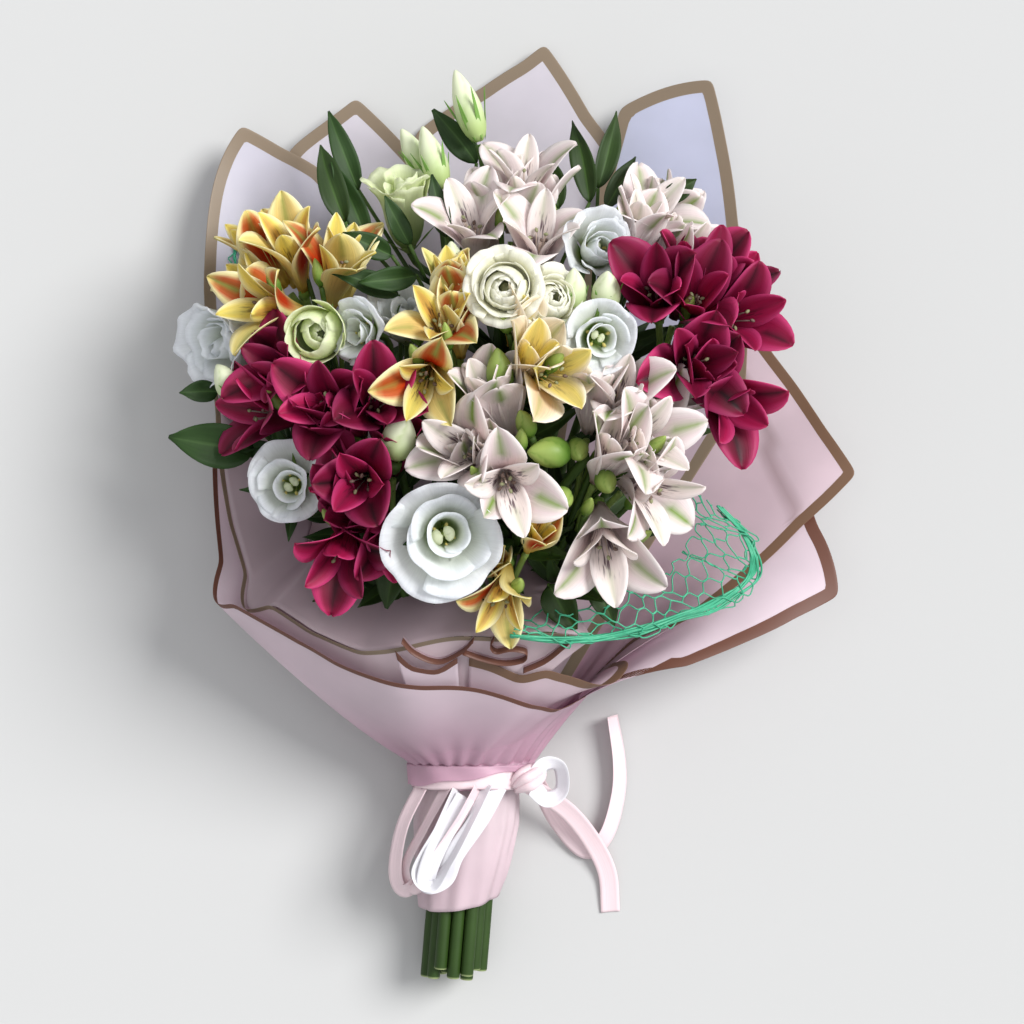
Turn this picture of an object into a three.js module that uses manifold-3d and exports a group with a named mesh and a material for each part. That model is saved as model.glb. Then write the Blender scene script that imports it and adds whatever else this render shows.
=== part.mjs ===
// A hand-tied mixed bouquet that lies on its back: alstroemeria, lisianthus and spray roses on bare
// green stalks, in layers of frosted film with a green net, bound with twine and a satin ribbon.
// Units are millimetres. +Z is up from the surface, +Y runs from the cut stems to the flowers.
import * as THREE from "three";
import loadKernel from "manifold-3d";

const kernel = await loadKernel();
kernel.setup();
const { Manifold, Mesh: SolidMesh } = kernel;

// ---- driving dimensions ---------------------------------------------------------------------

const FILM = 0.8; // thickness of the wrapping film
const PETAL = 0.7; // thickness of petals and leaves
const CLEAR = 0.35; // air kept between two separate pieces

const TIE = new THREE.Vector3(-23, -142, 29.2); // middle of the stalks where they are bound
const RUN = new THREE.Vector3(0.085, 1, 0.07); // way the stalks run through the binding
const STALK_RADIUS = 3.6;
const STALK_PITCH = 7.6;
const ROWS_IN_HAND = [3, 4, 5, 4, 3]; // stalks in each row of the bundle, from the underside up
const CUT_ENDS = [-258, -270]; // shortest and longest stalk, as y of the cut
const HUB_BACK = 46; // how far below its blooms a stalk forks
const FORK_RADIUS = 2.3;
const PEDICEL_RADIUS = 1.5;
const PEDICEL_SIDES = 5;

const ROOT_Y = -143; // where the film leaves the binding
const SLEEVE_Y = -157; // lower edge of the film under the ribbon
const ROOT_WIDE = 33; // half width of the film at the binding
const ROOT_TALL = 27; // half height of the film at the binding
const LAYER_AT_ROOT = 1.5; // distance from one film layer to the next, at the binding
const LAYER_AT_RIM = 4.6; // the same at the rim
const SKIRT_HEM_Y = -222; // lower edge of the film round the stalks

const RIBBON = 0.8; // ribbon thickness
const RIBBON_WIDTH = 14;

// ---- colours ----------------------------------------------------------------------------------

const GREEN = "#5d7f3a";
const CRIMSON = "#a3123f";
const YELLOW = "#e5b455";
const PEACH = "#ecc98a";
const BLUSH = "#ddccc8";
const WHITE = "#f1f2f4";
const CREAM = "#f1efd9";
const MINT = "#dfe8c9";
const FILM_PINK = "#dcc4ce";
const NET_GREEN = "#2fae6d";
const SATIN_PINK = "#eec6cb";
const SATIN_WHITE = "#efeef3";
const TWINE = "#b79a6a";

// ---- small helpers ----------------------------------------------------------------------------

const vec = (x, y, z) => new THREE.Vector3(x, y, z);
const mix = (a, b, t) => a + (b - a) * t;
const radians = (degrees) => (degrees * Math.PI) / 180;

// A repeatable source of numbers from 0 to 1.
function seeded(seed) {
  let state = seed;
  return () => {
    state = (state + 0x6d2b79f5) | 0;
    let t = Math.imul(state ^ (state >>> 15), 1 | state);
    t = (t + Math.imul(t ^ (t >>> 7), 61 | t)) ^ t;
    return ((t ^ (t >>> 14)) >>> 0) / 4294967296;
  };
}

// Three unit vectors at right angles, the last one along the given way, turned by roll about it.
function frameAlong(way, roll = 0) {
  const z = way.clone().normalize();
  const helper = Math.abs(z.z) < 0.92 ? vec(0, 0, 1) : vec(0, 1, 0);
  const x = helper.cross(z).normalize().applyAxisAngle(z, roll);
  const y = z.clone().cross(x);
  return { x, y, z };
}

// The point that lies at (radius, angle, height) in a bloom's own frame.
function around(base, frame, radius, angle, height) {
  return base
    .clone()
    .addScaledVector(frame.x, radius * Math.cos(angle))
    .addScaledVector(frame.y, radius * Math.sin(angle))
    .addScaledVector(frame.z, height);
}

// ---- solids -----------------------------------------------------------------------------------

// A closed solid from points and triangles, turned face out if it came inside out.
function solidOf(points, triangles) {
  const vertProperties = new Float32Array(points.flatMap((p) => [p.x, p.y, p.z]));
  const triVerts = new Uint32Array(triangles.flat());
  const made = new Manifold(new SolidMesh({ numProp: 3, vertProperties, triVerts }));
  if (made.volume() >= 0) return made;
  return solidOf(
    points,
    triangles.map(([a, b, c]) => [a, c, b]),
  );
}

// Mean surface normal at each point of a grid of points.
function gridNormals(rows, loop) {
  const columns = rows[0].length;
  return rows.map((row, i) =>
    row.map((point, j) => {
      const down = rows[Math.max(i - 1, 0)][j];
      const up = rows[Math.min(i + 1, rows.length - 1)][j];
      const left = row[loop ? (j + columns - 1) % columns : Math.max(j - 1, 0)];
      const right = row[loop ? (j + 1) % columns : Math.min(j + 1, columns - 1)];
      const along = up.clone().sub(down);
      const across = right.clone().sub(left);
      return along.cross(across).normalize();
    }),
  );
}

// A sheet of even thickness over a grid of points, its two faces split into triangles alike.
// With loop set, the last column joins the first, as in a sleeve.
function sheet(rows, thickness, loop = false) {
  const normals = gridNormals(rows, loop);
  const columns = rows[0].length;
  const count = rows.length * columns;
  const face = (side) =>
    rows.flatMap((row, i) =>
      row.map((p, j) => p.clone().addScaledVector(normals[i][j], (side * thickness) / 2)),
    );
  const points = [...face(1), ...face(-1)];
  const triangles = [];
  const steps = loop ? columns : columns - 1;
  for (let i = 0; i < rows.length - 1; i += 1) {
    for (let j = 0; j < steps; j += 1) {
      const a = i * columns + j;
      const b = i * columns + ((j + 1) % columns);
      const c = b + columns;
      const d = a + columns;
      triangles.push([a, b, c], [a, c, d]);
      triangles.push([a + count, c + count, b + count], [a + count, d + count, c + count]);
    }
  }
  const wall = (a, b) => triangles.push([b, a, a + count], [b, a + count, b + count]);
  const last = (rows.length - 1) * columns;
  for (let j = 0; j < steps; j += 1) {
    wall(j, (j + 1) % columns);
    wall(last + ((j + 1) % columns), last + j);
  }
  if (!loop) {
    for (let i = 0; i < rows.length - 1; i += 1) {
      wall((i + 1) * columns, i * columns);
      wall(i * columns + columns - 1, (i + 1) * columns + columns - 1);
    }
  }
  return solidOf(points, triangles);
}

// Rings of points round a path, with a radius at each point of it.
function ringsRound(path, radii, sides) {
  let side = frameAlong(path[1].clone().sub(path[0])).x;
  return path.map((point, i) => {
    const before = path[Math.max(i - 1, 0)];
    const after = path[Math.min(i + 1, path.length - 1)];
    const way = after.clone().sub(before).normalize();
    side = side.clone().addScaledVector(way, -side.dot(way)).normalize();
    const other = way.clone().cross(side);
    return Array.from({ length: sides }, (_, k) => {
      const angle = (2 * Math.PI * k) / sides;
      return point
        .clone()
        .addScaledVector(side, radii[i] * Math.cos(angle))
        .addScaledVector(other, radii[i] * Math.sin(angle));
    });
  });
}

// The triangles of a rod whose rings of points are numbered from 0, with its first end closed.
function rodTriangles(rings, sides) {
  const triangles = [];
  for (let i = 0; i < rings - 1; i += 1) {
    for (let k = 0; k < sides; k += 1) {
      const a = i * sides + k;
      const b = i * sides + ((k + 1) % sides);
      triangles.push([a, b, b + sides], [a, b + sides, a + sides]);
    }
  }
  for (let k = 1; k < sides - 1; k += 1) triangles.push([0, k + 1, k]);
  return triangles;
}

// A round rod through the given points, with a radius at each.
function rod(path, radii, sides = 5) {
  const triangles = rodTriangles(path.length, sides);
  const end = (path.length - 1) * sides;
  for (let k = 1; k < sides - 1; k += 1) triangles.push([end, end + k, end + k + 1]);
  return solidOf(ringsRound(path, radii, sides).flat(), triangles);
}

const joined = (solids) => (solids.length === 1 ? solids[0] : Manifold.union(solids));

// The largest of the bodies that a cut leaves, so that loose scraps are dropped.
function mainBody(solid) {
  const bodies = solid.decompose();
  return bodies.reduce((best, body) => (body.volume() > best.volume() ? body : best));
}

// The same solid with its skin pushed out, used to cut a neighbour clear of it.
function grown(solid, by = CLEAR) {
  const mesh = solid.getMesh();
  const step = mesh.numProp;
  const at = (i) => vec(...mesh.vertProperties.subarray(i * step, i * step + 3));
  const points = Array.from({ length: mesh.numVert }, (_, i) => at(i));
  const normals = points.map(() => vec(0, 0, 0));
  const triangles = [];
  for (let t = 0; t < mesh.triVerts.length; t += 3) {
    const corners = [...mesh.triVerts.subarray(t, t + 3)];
    const [a, b, c] = corners.map((i) => points[i]);
    const normal = b.clone().sub(a).cross(c.clone().sub(a)).normalize();
    corners.forEach((index, k) => {
      const toNext = points[corners[(k + 1) % 3]].clone().sub(points[index]);
      const toLast = points[corners[(k + 2) % 3]].clone().sub(points[index]);
      normals[index].addScaledVector(normal, toNext.angleTo(toLast) || 0);
    });
    triangles.push(corners);
  }
  points.forEach((point, i) => point.addScaledVector(normals[i].normalize(), by));
  return solidOf(points, triangles);
}

// What is left of a solid, in one body, once the obstacles near it are cut away.
function cleared(solid, obstacles) {
  const near = obstacles.filter((obstacle) => !isClear(solid, [obstacle]));
  if (!near.length) return solid;
  return mainBody(solid.subtract(joined(near.flatMap((obstacle) => [obstacle, grown(obstacle)]))));
}

// True where a solid keeps its air to each of the others.
function isClear(solid, others) {
  const box = solid.boundingBox();
  return others.every((other) => {
    const its = other.boundingBox();
    const apart = [0, 1, 2].some(
      (k) => its.min[k] > box.max[k] + CLEAR || box.min[k] > its.max[k] + CLEAR,
    );
    return apart || solid.minGap(other, CLEAR) >= CLEAR;
  });
}

// Bends and shortens a piece, step by step, until it is clear of the others. The steps are
// [share of its spread, share of its length]. What still touches after the last is cut clear.
const YIELDS = [
  [1, 1],
  [0.85, 0.97],
  [1.15, 0.92],
  [0.7, 0.95],
  [0.9, 0.8],
  [0.55, 0.9],
  [0.7, 0.75],
  [1.3, 0.75],
  [0.4, 0.8],
  [0.3, 0.6],
];

function settled(make, others) {
  for (const [spreading, size] of YIELDS) {
    const solid = make(spreading, size);
    if (isClear(solid, others)) return solid;
  }
  return cleared(make(0.5, 0.7), others);
}

// The same for a petal that is still a grid of points.
function settledGrid(grid, others) {
  const found = YIELDS.find(([spreading, size]) => isClear(sheet(grid(spreading, size), PETAL), others));
  return grid(...(found ?? [0.5, 0.7]));
}

// ---- petals -----------------------------------------------------------------------------------

// Walks a petal's midline, whose slope from the bloom's axis goes through three angles, and gives
// the distance from the axis and the height at fraction v of a petal 1 long.
function midline([low, middle, high]) {
  const steps = 24;
  const table = [[0, 0]];
  for (let i = 0; i < steps; i += 1) {
    const v = (i + 0.5) / steps;
    const slope = low * (1 - v) * (1 - 2 * v) + middle * 4 * v * (1 - v) + high * v * (2 * v - 1);
    const [out, up] = table[i];
    table.push([out + Math.sin(slope) / steps, up + Math.cos(slope) / steps]);
  }
  return (v) => {
    const place = Math.min(Math.max(v, 0), 1) * steps;
    const i = Math.min(Math.floor(place), steps - 1);
    return [mix(table[i][0], table[i + 1][0], place - i), mix(table[i][1], table[i + 1][1], place - i)];
  };
}

// The points of a petal's middle surface, from its root row to its tip. The root row lies on the
// root circle of its ring, so that neighbours there share their corners.
function petalGrid({ base, frame, angle, share, root, columns, rows, place }) {
  return rows.map((v, i) =>
    Array.from({ length: columns + 1 }, (_, j) => {
      const u = (2 * j) / columns - 1;
      if (i === 0) return around(base, frame, root.radius, angle + u * share, root.height);
      return place(v, u);
    }),
  );
}

// A tepal of an alstroemeria floret: narrow at the foot, broad above the middle, pointed.
function tepalPlace({ base, frame, angle, length, half, slopes, columns, cup, root }) {
  const line = midline(slopes);
  const widths = { 0.62: 1, 1: columns === 2 ? 0.52 : 0.2 };
  const sideways = around(vec(0, 0, 0), frame, 1, angle + Math.PI / 2, 0);
  return (v, u) => {
    const along = v - (v === 1 && columns === 2 ? 0.16 * u * u : 0);
    const [out, up] = line(along);
    const rise = root.height + up * length + cup * half * u * u;
    return around(base, frame, root.radius + out * length, angle, rise).addScaledVector(
      sideways,
      u * half * widths[v],
    );
  };
}

// A floret of alstroemeria: three broad tepals and three narrow ones between them, in one ring.
function floret({ at, frame, across }) {
  const slopes = [0.15, 0.5, 1.15];
  const root = { radius: 3.6, height: 4.5 };
  const [reachOut, depth] = midline(slopes)(1);
  const length = (across / 2 - root.radius) / reachOut;
  const base = around(at, frame, 0, 0, -0.94 * (root.height + length * depth));
  const petals = [];
  for (let k = 0; k < 6; k += 1) {
    const broad = k % 2 === 0;
    const angle = (k * Math.PI) / 3;
    const columns = broad ? 2 : 1;
    const own = { base, frame, angle, columns, root };
    petals.push({
      columns,
      grid: (spreading, size) =>
        petalGrid({
          ...own,
          share: broad ? 0.6 : Math.PI / 3 - 0.6,
          rows: [0, 0.62, 1],
          place: tepalPlace({
            ...own,
            length: length * size * (broad ? 1 : 1.03),
            half: (broad ? 0.23 : 0.135) * across * Math.sqrt(size),
            slopes: slopes.map((slope) => slope * spreading * (broad ? 1 : 0.6)),
            cup: broad ? 0.25 : 0,
          }),
        }),
    });
  }
  return { base, heart: root.height + 1, rings: [{ root, petals }] };
}

// The rings of petals of a bowl-shaped bloom. Each ring has its own count, size and slopes, and
// its petals fill their share of the turn but for a narrow gap that the next ring covers.
const BOWLS = {
  open: {
    rings: [
      { count: 5, size: 1, slopes: [1.25, 0.6, 1.25], ruffle: 1.2 },
      { count: 5, size: 0.8, slopes: [1.05, 0.4, 0.8], ruffle: 0.8 },
    ],
    heart: 0.42,
  },
  cup: {
    rings: [
      { count: 5, size: 1, slopes: [1.2, 0.35, 0.8], ruffle: 1 },
      { count: 4, size: 0.76, slopes: [1, 0.18, 0.3], ruffle: 0.6 },
    ],
    heart: 0.4,
  },
  trumpet: {
    rings: [
      { count: 5, size: 1, slopes: [0.75, 0.08, 1.05], ruffle: 1.4 },
      { count: 4, size: 0.76, slopes: [0.6, 0.02, 0.5], ruffle: 0.6 },
    ],
    heart: 0.4,
  },
  opening: {
    rings: [
      { count: 5, size: 1, slopes: [1.2, -0.05, 0.4], ruffle: 1.2 },
      { count: 4, size: 0.74, slopes: [1, -0.08, 0.2], ruffle: 0.6 },
    ],
    heart: 0.5,
  },
  rose: {
    rings: [
      { count: 5, size: 1, slopes: [1.35, 0.5, 1], ruffle: 0.6 },
      { count: 4, size: 0.78, slopes: [1.2, 0.22, 0.3], ruffle: 0.4 },
      { count: 3, size: 0.56, slopes: [1.1, 0.02, -0.05], ruffle: 0.3 },
    ],
    heart: 0.6,
  },
};

// A petal that is a patch of a bowl of revolution, waved at its rim.
function bowlPlace({ base, frame, angle, length, reach, slopes, ruffle, root }) {
  const line = midline(slopes);
  return (v, u) => {
    const [out, up] = line(v * (1 - 0.09 * u * u));
    const wave = v === 1 ? ruffle * Math.sin(4 * u + 3 * angle) : 0;
    const rise = root.height + up * length + wave;
    return around(base, frame, root.radius + out * length, angle + u * reach, rise);
  };
}

// A lisianthus or rose: rings of bowl petals round a small heart.
function bowl({ at, frame, across, shape }) {
  const { rings, heart } = BOWLS[shape];
  const [reachOut, depth] = midline(rings[0].slopes)(1);
  const firstRoot = 1.6 + 1.5 * rings.length;
  const length = (across / 2 - firstRoot) / reachOut;
  const base = around(at, frame, 0, 0, -depth * length - 3);
  return {
    base,
    heart: 3 + heart * depth * length,
    rings: rings.map((ring, r) => {
      const root = { radius: firstRoot - 1.5 * r, height: 3 };
      const share = Math.PI / ring.count;
      const petals = Array.from({ length: ring.count }, (_, k) => {
        const own = { base, frame, angle: 2 * k * share + 0.5 * r, columns: 2, root };
        return {
          columns: 2,
          grid: (spreading, size) =>
            petalGrid({
              ...own,
              share,
              rows: [0, 0.52, 1],
              place: bowlPlace({
                ...own,
                length: length * ring.size * size,
                reach: 0.93 * share,
                slopes: ring.slopes.map((slope) => slope * spreading),
                ruffle: ring.ruffle,
              }),
            }),
        };
      });
      return { root, petals };
    }),
  };
}

// Fills the band between two closed lines of points that run the same way round, the first
// outside the second. Both are lists of [index, turn].
function zip(outer, inner, triangles) {
  let i = 0;
  let j = 0;
  const turnOf = (list, k) => list[k % list.length][1] + (k >= list.length ? 2 * Math.PI : 0);
  while (i < outer.length || j < inner.length) {
    const p = outer[i % outer.length][0];
    const q = inner[j % inner.length][0];
    const stepOuter = j >= inner.length || (i < outer.length && turnOf(outer, i + 1) <= turnOf(inner, j + 1));
    if (stepOuter) {
      triangles.push([p, outer[(i + 1) % outer.length][0], q]);
      i += 1;
    } else {
      triangles.push([inner[(j + 1) % inner.length][0], q, p]);
      j += 1;
    }
  }
}

// One closed skin round all the petals of a bloom, and its pedicel if it has one. Each grid is a
// petal's middle surface. Ring by ring, petals rise from a shared root line, the floor between
// rings is closed, and the innermost floor is drawn up into the heart.
function bloomSkin({ base, frame, heart, rings, pedicel }, grids) {
  const foot = pedicel ? ringsRound(pedicel.path, pedicel.radii, PEDICEL_SIDES) : [[base]];
  const points = foot.flat();
  const triangles = pedicel ? rodTriangles(foot.length, PEDICEL_SIDES) : [];
  const add = (point) => points.push(point) - 1;
  const turnOf = (point, middle) => {
    const arm = point.clone().sub(middle);
    return Math.atan2(arm.dot(frame.y), arm.dot(frame.x));
  };
  let floor = null;
  rings.forEach(({ root, petals }, r) => {
    const outer = [];
    const inner = [];
    petals.forEach((petal, k) => {
      const first = grids[r][k][0];
      for (let j = 0; j < petal.columns; j += 1) {
        const middle = around(base, frame, 0, 0, root.height);
        const away = first[j].clone().sub(middle).normalize();
        const turn = turnOf(first[j], middle);
        outer.push([add(first[j].clone().addScaledVector(away, PETAL / 2)), turn]);
        inner.push([add(first[j].clone().addScaledVector(away, -PETAL / 2)), turn]);
      }
    });
    const count = outer.length;
    let start = 0;
    petals.forEach((petal, k) => {
      const rows = grids[r][k];
      const normals = gridNormals(rows, false);
      const facing = normals[1][0].dot(outward(rows[1][0], base, frame)) > 0 ? 1 : -1;
      const skin = (side) =>
        rows.map((row, i) =>
          row.map((p, j) => {
            if (i === 0) return (side > 0 ? outer : inner)[(start + j) % count][0];
            return add(p.clone().addScaledVector(normals[i][j], (side * facing * PETAL) / 2));
          }),
        );
      coverPetal(skin(1), skin(-1), triangles);
      start += petal.columns;
    });
    if (r === 0 && pedicel) {
      const top = foot[foot.length - 1];
      const first = points.indexOf(top[0]);
      const collar = top.map((point, k) => [first + k, turnOf(point, pedicel.path.at(-1))]);
      zip(byTurn(collar), byTurn(outer), triangles);
    } else if (r === 0) {
      outer.forEach(([a], i) => triangles.push([outer[(i + 1) % count][0], a, 0]));
    } else {
      zip(byTurn(floor), byTurn(outer), triangles);
    }
    floor = inner;
  });
  const peak = add(around(base, frame, 0, 0, heart));
  floor.forEach(([a], i) => triangles.push([a, floor[(i + 1) % floor.length][0], peak]));
  return solidOf(points, triangles);
}

// The way from a bloom's axis to a point.
function outward(point, base, frame) {
  const arm = point.clone().sub(base);
  return arm.addScaledVector(frame.z, -arm.dot(frame.z)).normalize();
}

// A closed line of points, started at its lowest turn.
function byTurn(line) {
  const low = line.reduce((best, item, i) => (item[1] < line[best][1] ? i : best), 0);
  return [...line.slice(low), ...line.slice(0, low)];
}

// Joins a petal's outer and inner faces round its sides and tip. Its root stays open.
function coverPetal(outer, inner, triangles) {
  const last = outer.length - 1;
  const right = outer[0].length - 1;
  for (let i = 0; i < last; i += 1) {
    for (let j = 0; j < right; j += 1) {
      const corners = (face) => [face[i][j], face[i][j + 1], face[i + 1][j + 1], face[i + 1][j]];
      const [a, b, c, d] = corners(outer);
      const [e, f, g, h] = corners(inner);
      triangles.push([a, b, c], [a, c, d], [e, g, f], [e, h, g]);
    }
    const side = (a, d, e, h) => triangles.push([a, d, h], [a, h, e]);
    side(outer[i][0], outer[i + 1][0], inner[i][0], inner[i + 1][0]);
    side(outer[i + 1][right], outer[i][right], inner[i + 1][right], inner[i][right]);
  }
  for (let j = 0; j < right; j += 1) {
    const [c, d, g, h] = [outer[last][j + 1], outer[last][j], inner[last][j + 1], inner[last][j]];
    triangles.push([d, c, g], [d, g, h]);
  }
}

// ---- leaves and buds ----------------------------------------------------------------------------

// A lance-shaped leaf, folded along its midrib and bent down toward the tip.
function leaf(from, to, width, stations = [0, 0.32, 0.66, 1]) {
  const sag = 0.08;
  const span = to.clone().sub(from);
  const length = span.length();
  const frame = frameAlong(span);
  const upward = frame.y.z >= 0 ? frame.y.clone() : frame.y.clone().negate();
  const rows = stations.map((v) => {
    const wide = width * Math.max(0.1, 1.9 * v ** 0.6 * (1 - v) ** 0.7);
    return [-1, 0, 1].map((u) =>
      from
        .clone()
        .addScaledVector(span, v)
        .addScaledVector(upward, sag * length * 4 * v * (1 - v) + 0.16 * wide * Math.abs(u))
        .addScaledVector(frame.x, (u * wide) / 2),
    );
  });
  return sheet(rows, PETAL);
}

// A strand that ends in a closed bud, in one rod: its path and the radius at each point.
function budRod(stem, radii, from, to, width) {
  const swell = [0.3, 0.65, 1].map((t) => from.clone().lerp(to, t));
  return rod([...stem, ...swell], [...radii, 0.48 * width, 0.4 * width, 0.07 * width], 5);
}

// ---- what grows on each stalk ---------------------------------------------------------------------

// Blooms are [x, y, z, width across, lean in x, lean in y] at the middle of the bloom's rim.
// Buds are [root x, y, z, tip x, y, z, width] and leaves the same.
const STALKS = [
  {
    name: "yellow_left",
    heads: [
      {
        node: "alstroemeria_yellow_left",
        colour: YELLOW,
        florets: [
          [-137, 112, 112, 52, -0.9, 0.1],
          [-122, 146, 98, 50, -0.3, 1.1],
          [-95, 136, 104, 52, 0.3, 1.2],
        ],
      },
    ],
    leaves: [[-92, 160, 80, -111, 200, 66, 15]],
  },
  {
    name: "yellow_centre",
    heads: [
      {
        node: "alstroemeria_yellow_centre",
        colour: YELLOW,
        florets: [
          [-38, 103, 146, 48, -0.05, 0.5],
          [-46, 69, 158, 50, -0.1, -0.35],
        ],
      },
    ],
    buds: [[-5, 62, 150, -8, 86, 162, 15]],
  },
  {
    name: "yellow_right",
    heads: [
      {
        node: "alstroemeria_peach",
        colour: PEACH,
        florets: [[23, 72, 158, 54, 0.5, -0.1]],
      },
    ],
    buds: [[-2, 95, 148, -5, 104, 157, 8]],
  },
  {
    name: "yellow_low",
    heads: [
      {
        node: "alstroemeria_yellow_low",
        colour: YELLOW,
        florets: [[-6, -48, 138, 42, -0.2, -1.1]],
      },
    ],
  },
  {
    name: "crimson_left",
    heads: [
      {
        node: "alstroemeria_crimson_left",
        colour: CRIMSON,
        florets: [
          [-139, 54, 108, 48, -1.8, 0.2],
          [-127, 77, 118, 48, -0.6, 0.2],
          [-100, 57, 140, 52, -0.3, 0.1],
          [-71, 60, 148, 50, 0.2, 0.3],
        ],
      },
    ],
  },
  {
    name: "crimson_low",
    heads: [
      {
        node: "alstroemeria_crimson_low",
        colour: CRIMSON,
        florets: [
          [-81, 16, 147, 50, -0.1, -0.1],
          [-92, -24, 138, 50, -0.2, -0.8],
          [-65, -15, 136, 46, 0.3, -0.6],
        ],
      },
    ],
    leaves: [[-62, -20, 118, -68, -54, 118, 17]],
  },
  {
    name: "crimson_right",
    heads: [
      {
        node: "alstroemeria_crimson_right",
        colour: CRIMSON,
        florets: [
          [77, 121, 130, 52, -0.1, 0.5],
          [99, 116, 127, 52, 0.1, 0.5],
          [125, 106, 110, 50, 0.6, 0.1],
          [98, 78, 139, 54, 0.2, 0],
          [119, 57, 124, 52, 0.5, -0.5],
        ],
      },
    ],
  },
  {
    name: "white_top",
    heads: [
      {
        node: "alstroemeria_blush_top",
        colour: BLUSH,
        florets: [
          [-23, 158, 104, 50, -0.2, 1],
          [15, 151, 112, 50, 0.1, 1],
          [6, 186, 84, 52, 0, 1.8],
        ],
      },
    ],
    leaves: [
      [43, 171, 76, 38, 217, 64, 13],
      [26, 168, 74, 20, 200, 70, 12],
    ],
  },
  {
    name: "white_upper_right",
    heads: [
      {
        node: "alstroemeria_blush_upper_right",
        colour: BLUSH,
        florets: [
          [76, 166, 86, 50, 0.7, 1.2],
          [97, 138, 95, 50, 1.4, 0.4],
        ],
      },
    ],
    leaves: [
      [48, 180, 66, 61, 222, 52, 12],
      [52, 168, 76, 69, 196, 66, 11],
      [84, 172, 78, 103, 184, 78, 11],
    ],
  },
  {
    name: "white_centre",
    heads: [
      {
        node: "alstroemeria_blush_centre",
        colour: BLUSH,
        florets: [
          [-26, 32, 158, 52, -0.5, 0.1],
          [-2, 13, 164, 52, 0.1, -0.3],
        ],
      },
    ],
    buds: [
      [31, 31, 150, 8, 31, 162, 17],
      [10, 40, 148, 4, 53, 162, 11],
      [24, 10, 146, 30, 3, 160, 12],
    ],
  },
  {
    name: "white_right",
    heads: [
      {
        node: "alstroemeria_blush_right",
        colour: BLUSH,
        florets: [
          [57, 65, 150, 50, 0.1, 0.6],
          [70, 38, 154, 52, 0.6, 0.1],
          [76, 9, 142, 52, 0.9, -0.5],
        ],
      },
    ],
    buds: [
      [34, 36, 144, 36, 28, 160, 12],
      [48, 20, 142, 52, 10, 156, 12],
    ],
  },
  {
    name: "white_low",
    heads: [
      {
        node: "alstroemeria_blush_low",
        colour: BLUSH,
        florets: [[50, -21, 150, 58, 0.1, -0.8]],
      },
    ],
    leaves: [
      [20, -40, 114, 34, -66, 112, 18],
      [44, -40, 112, 58, -62, 112, 14],
    ],
  },
  {
    name: "lisianthus_front",
    heads: [{ node: "lisianthus_front", colour: WHITE, bowls: [[-36, -15, 160, 66, 0.05, -0.15, "open"]] }],
  },
  {
    name: "lisianthus_low_left",
    heads: [{ node: "lisianthus_low_left", colour: WHITE, bowls: [[-121, 14, 125, 46, -0.15, -0.05, "open"]] }],
    leaves: [[-92, -20, 98, -100, -44, 104, 13]],
  },
  {
    name: "lisianthus_far_left",
    heads: [{ node: "lisianthus_far_left", colour: WHITE, bowls: [[-168, 90, 92, 54, -1.3, -0.3, "cup"]] }],
    buds: [[-149, 60, 98, -161, 80, 106, 16]],
    leaves: [
      [-142, 34, 88, -190, 37, 92, 24],
      [-162, 66, 84, -184, 66, 92, 12],
    ],
  },
  {
    name: "lisianthus_mid_left",
    heads: [
      { node: "lisianthus_mid_left", colour: WHITE, bowls: [[-85, 97, 138, 38, -0.9, 0.1, "open"]] },
      { node: "lisianthus_mid_back", colour: WHITE, bowls: [[-59, 113, 110, 42, -0.1, 1.1, "cup"]] },
      { node: "lisianthus_opening", colour: MINT, bowls: [[-108, 95, 136, 32, -0.25, -0.1, "opening"]] },
    ],
    buds: [[-62, 27, 140, -58, 53, 152, 19]],
    leaves: [[-62, 118, 104, -98, 134, 116, 13]],
  },
  {
    name: "lisianthus_upper_right",
    heads: [{ node: "lisianthus_upper_right", colour: WHITE, bowls: [[49, 147, 120, 42, 0.3, 0.35, "cup"]] }],
    buds: [
      [50, 108, 128, 51, 128, 142, 16],
      [34, 108, 126, 33, 130, 138, 14],
    ],
  },
  {
    name: "lisianthus_top",
    heads: [{ node: "lisianthus_top", colour: MINT, bowls: [[-64, 184, 76, 40, -0.3, 1.8, "trumpet"]] }],
    buds: [
      [-18, 206, 60, -32, 247, 62, 16],
      [-38, 178, 76, -50, 214, 74, 15],
      [-46, 184, 58, -62, 214, 62, 14],
      [-30, 116, 108, -33, 146, 120, 16],
    ],
    leaves: [
      [-86, 180, 56, -105, 224, 52, 13],
      [-20, 196, 48, -43, 228, 48, 15],
    ],
  },
  {
    name: "rose_spray",
    heads: [
      { node: "rose_cream_left", colour: CREAM, bowls: [[-4, 119, 158, 42, -0.1, 0.1, "rose"]] },
      { node: "rose_cream_right", colour: CREAM, bowls: [[23, 113, 142, 38, 0.5, 0.2, "rose"]] },
      { node: "rose_white", colour: WHITE, bowls: [[47, 92, 155, 40, 0.15, -0.1, "rose"]] },
    ],
    buds: [[27, 94, 140, 28, 101, 152, 9]],
  },
];

const leanOf = (x, y) => vec(x, y, 1).normalize();

// Every bloom of every stalk, with its frame, its petals and the foot where its pedicel ends.
const roll = seeded(7);
const blooms = STALKS.flatMap((stalk) =>
  stalk.heads.flatMap((head) => [
    ...(head.florets ?? []).map((row) => ({ stalk, head, row, make: floret })),
    ...(head.bowls ?? []).map((row) => ({ stalk, head, row, make: bowl })),
  ]),
).map(({ stalk, head, row, make }) => {
  const [x, y, z, across, leanX, leanY, shape] = row;
  const frame = frameAlong(leanOf(leanX, leanY), 2 * Math.PI * roll());
  const { base, heart, rings } = make({ at: vec(x, y, z), frame, across, shape });
  const middle = around(base, frame, 0, 0, 0.35 * across);
  return { stalk, head, across, frame, base, heart, rings, middle };
});

// ---- stalks -----------------------------------------------------------------------------------

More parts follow.
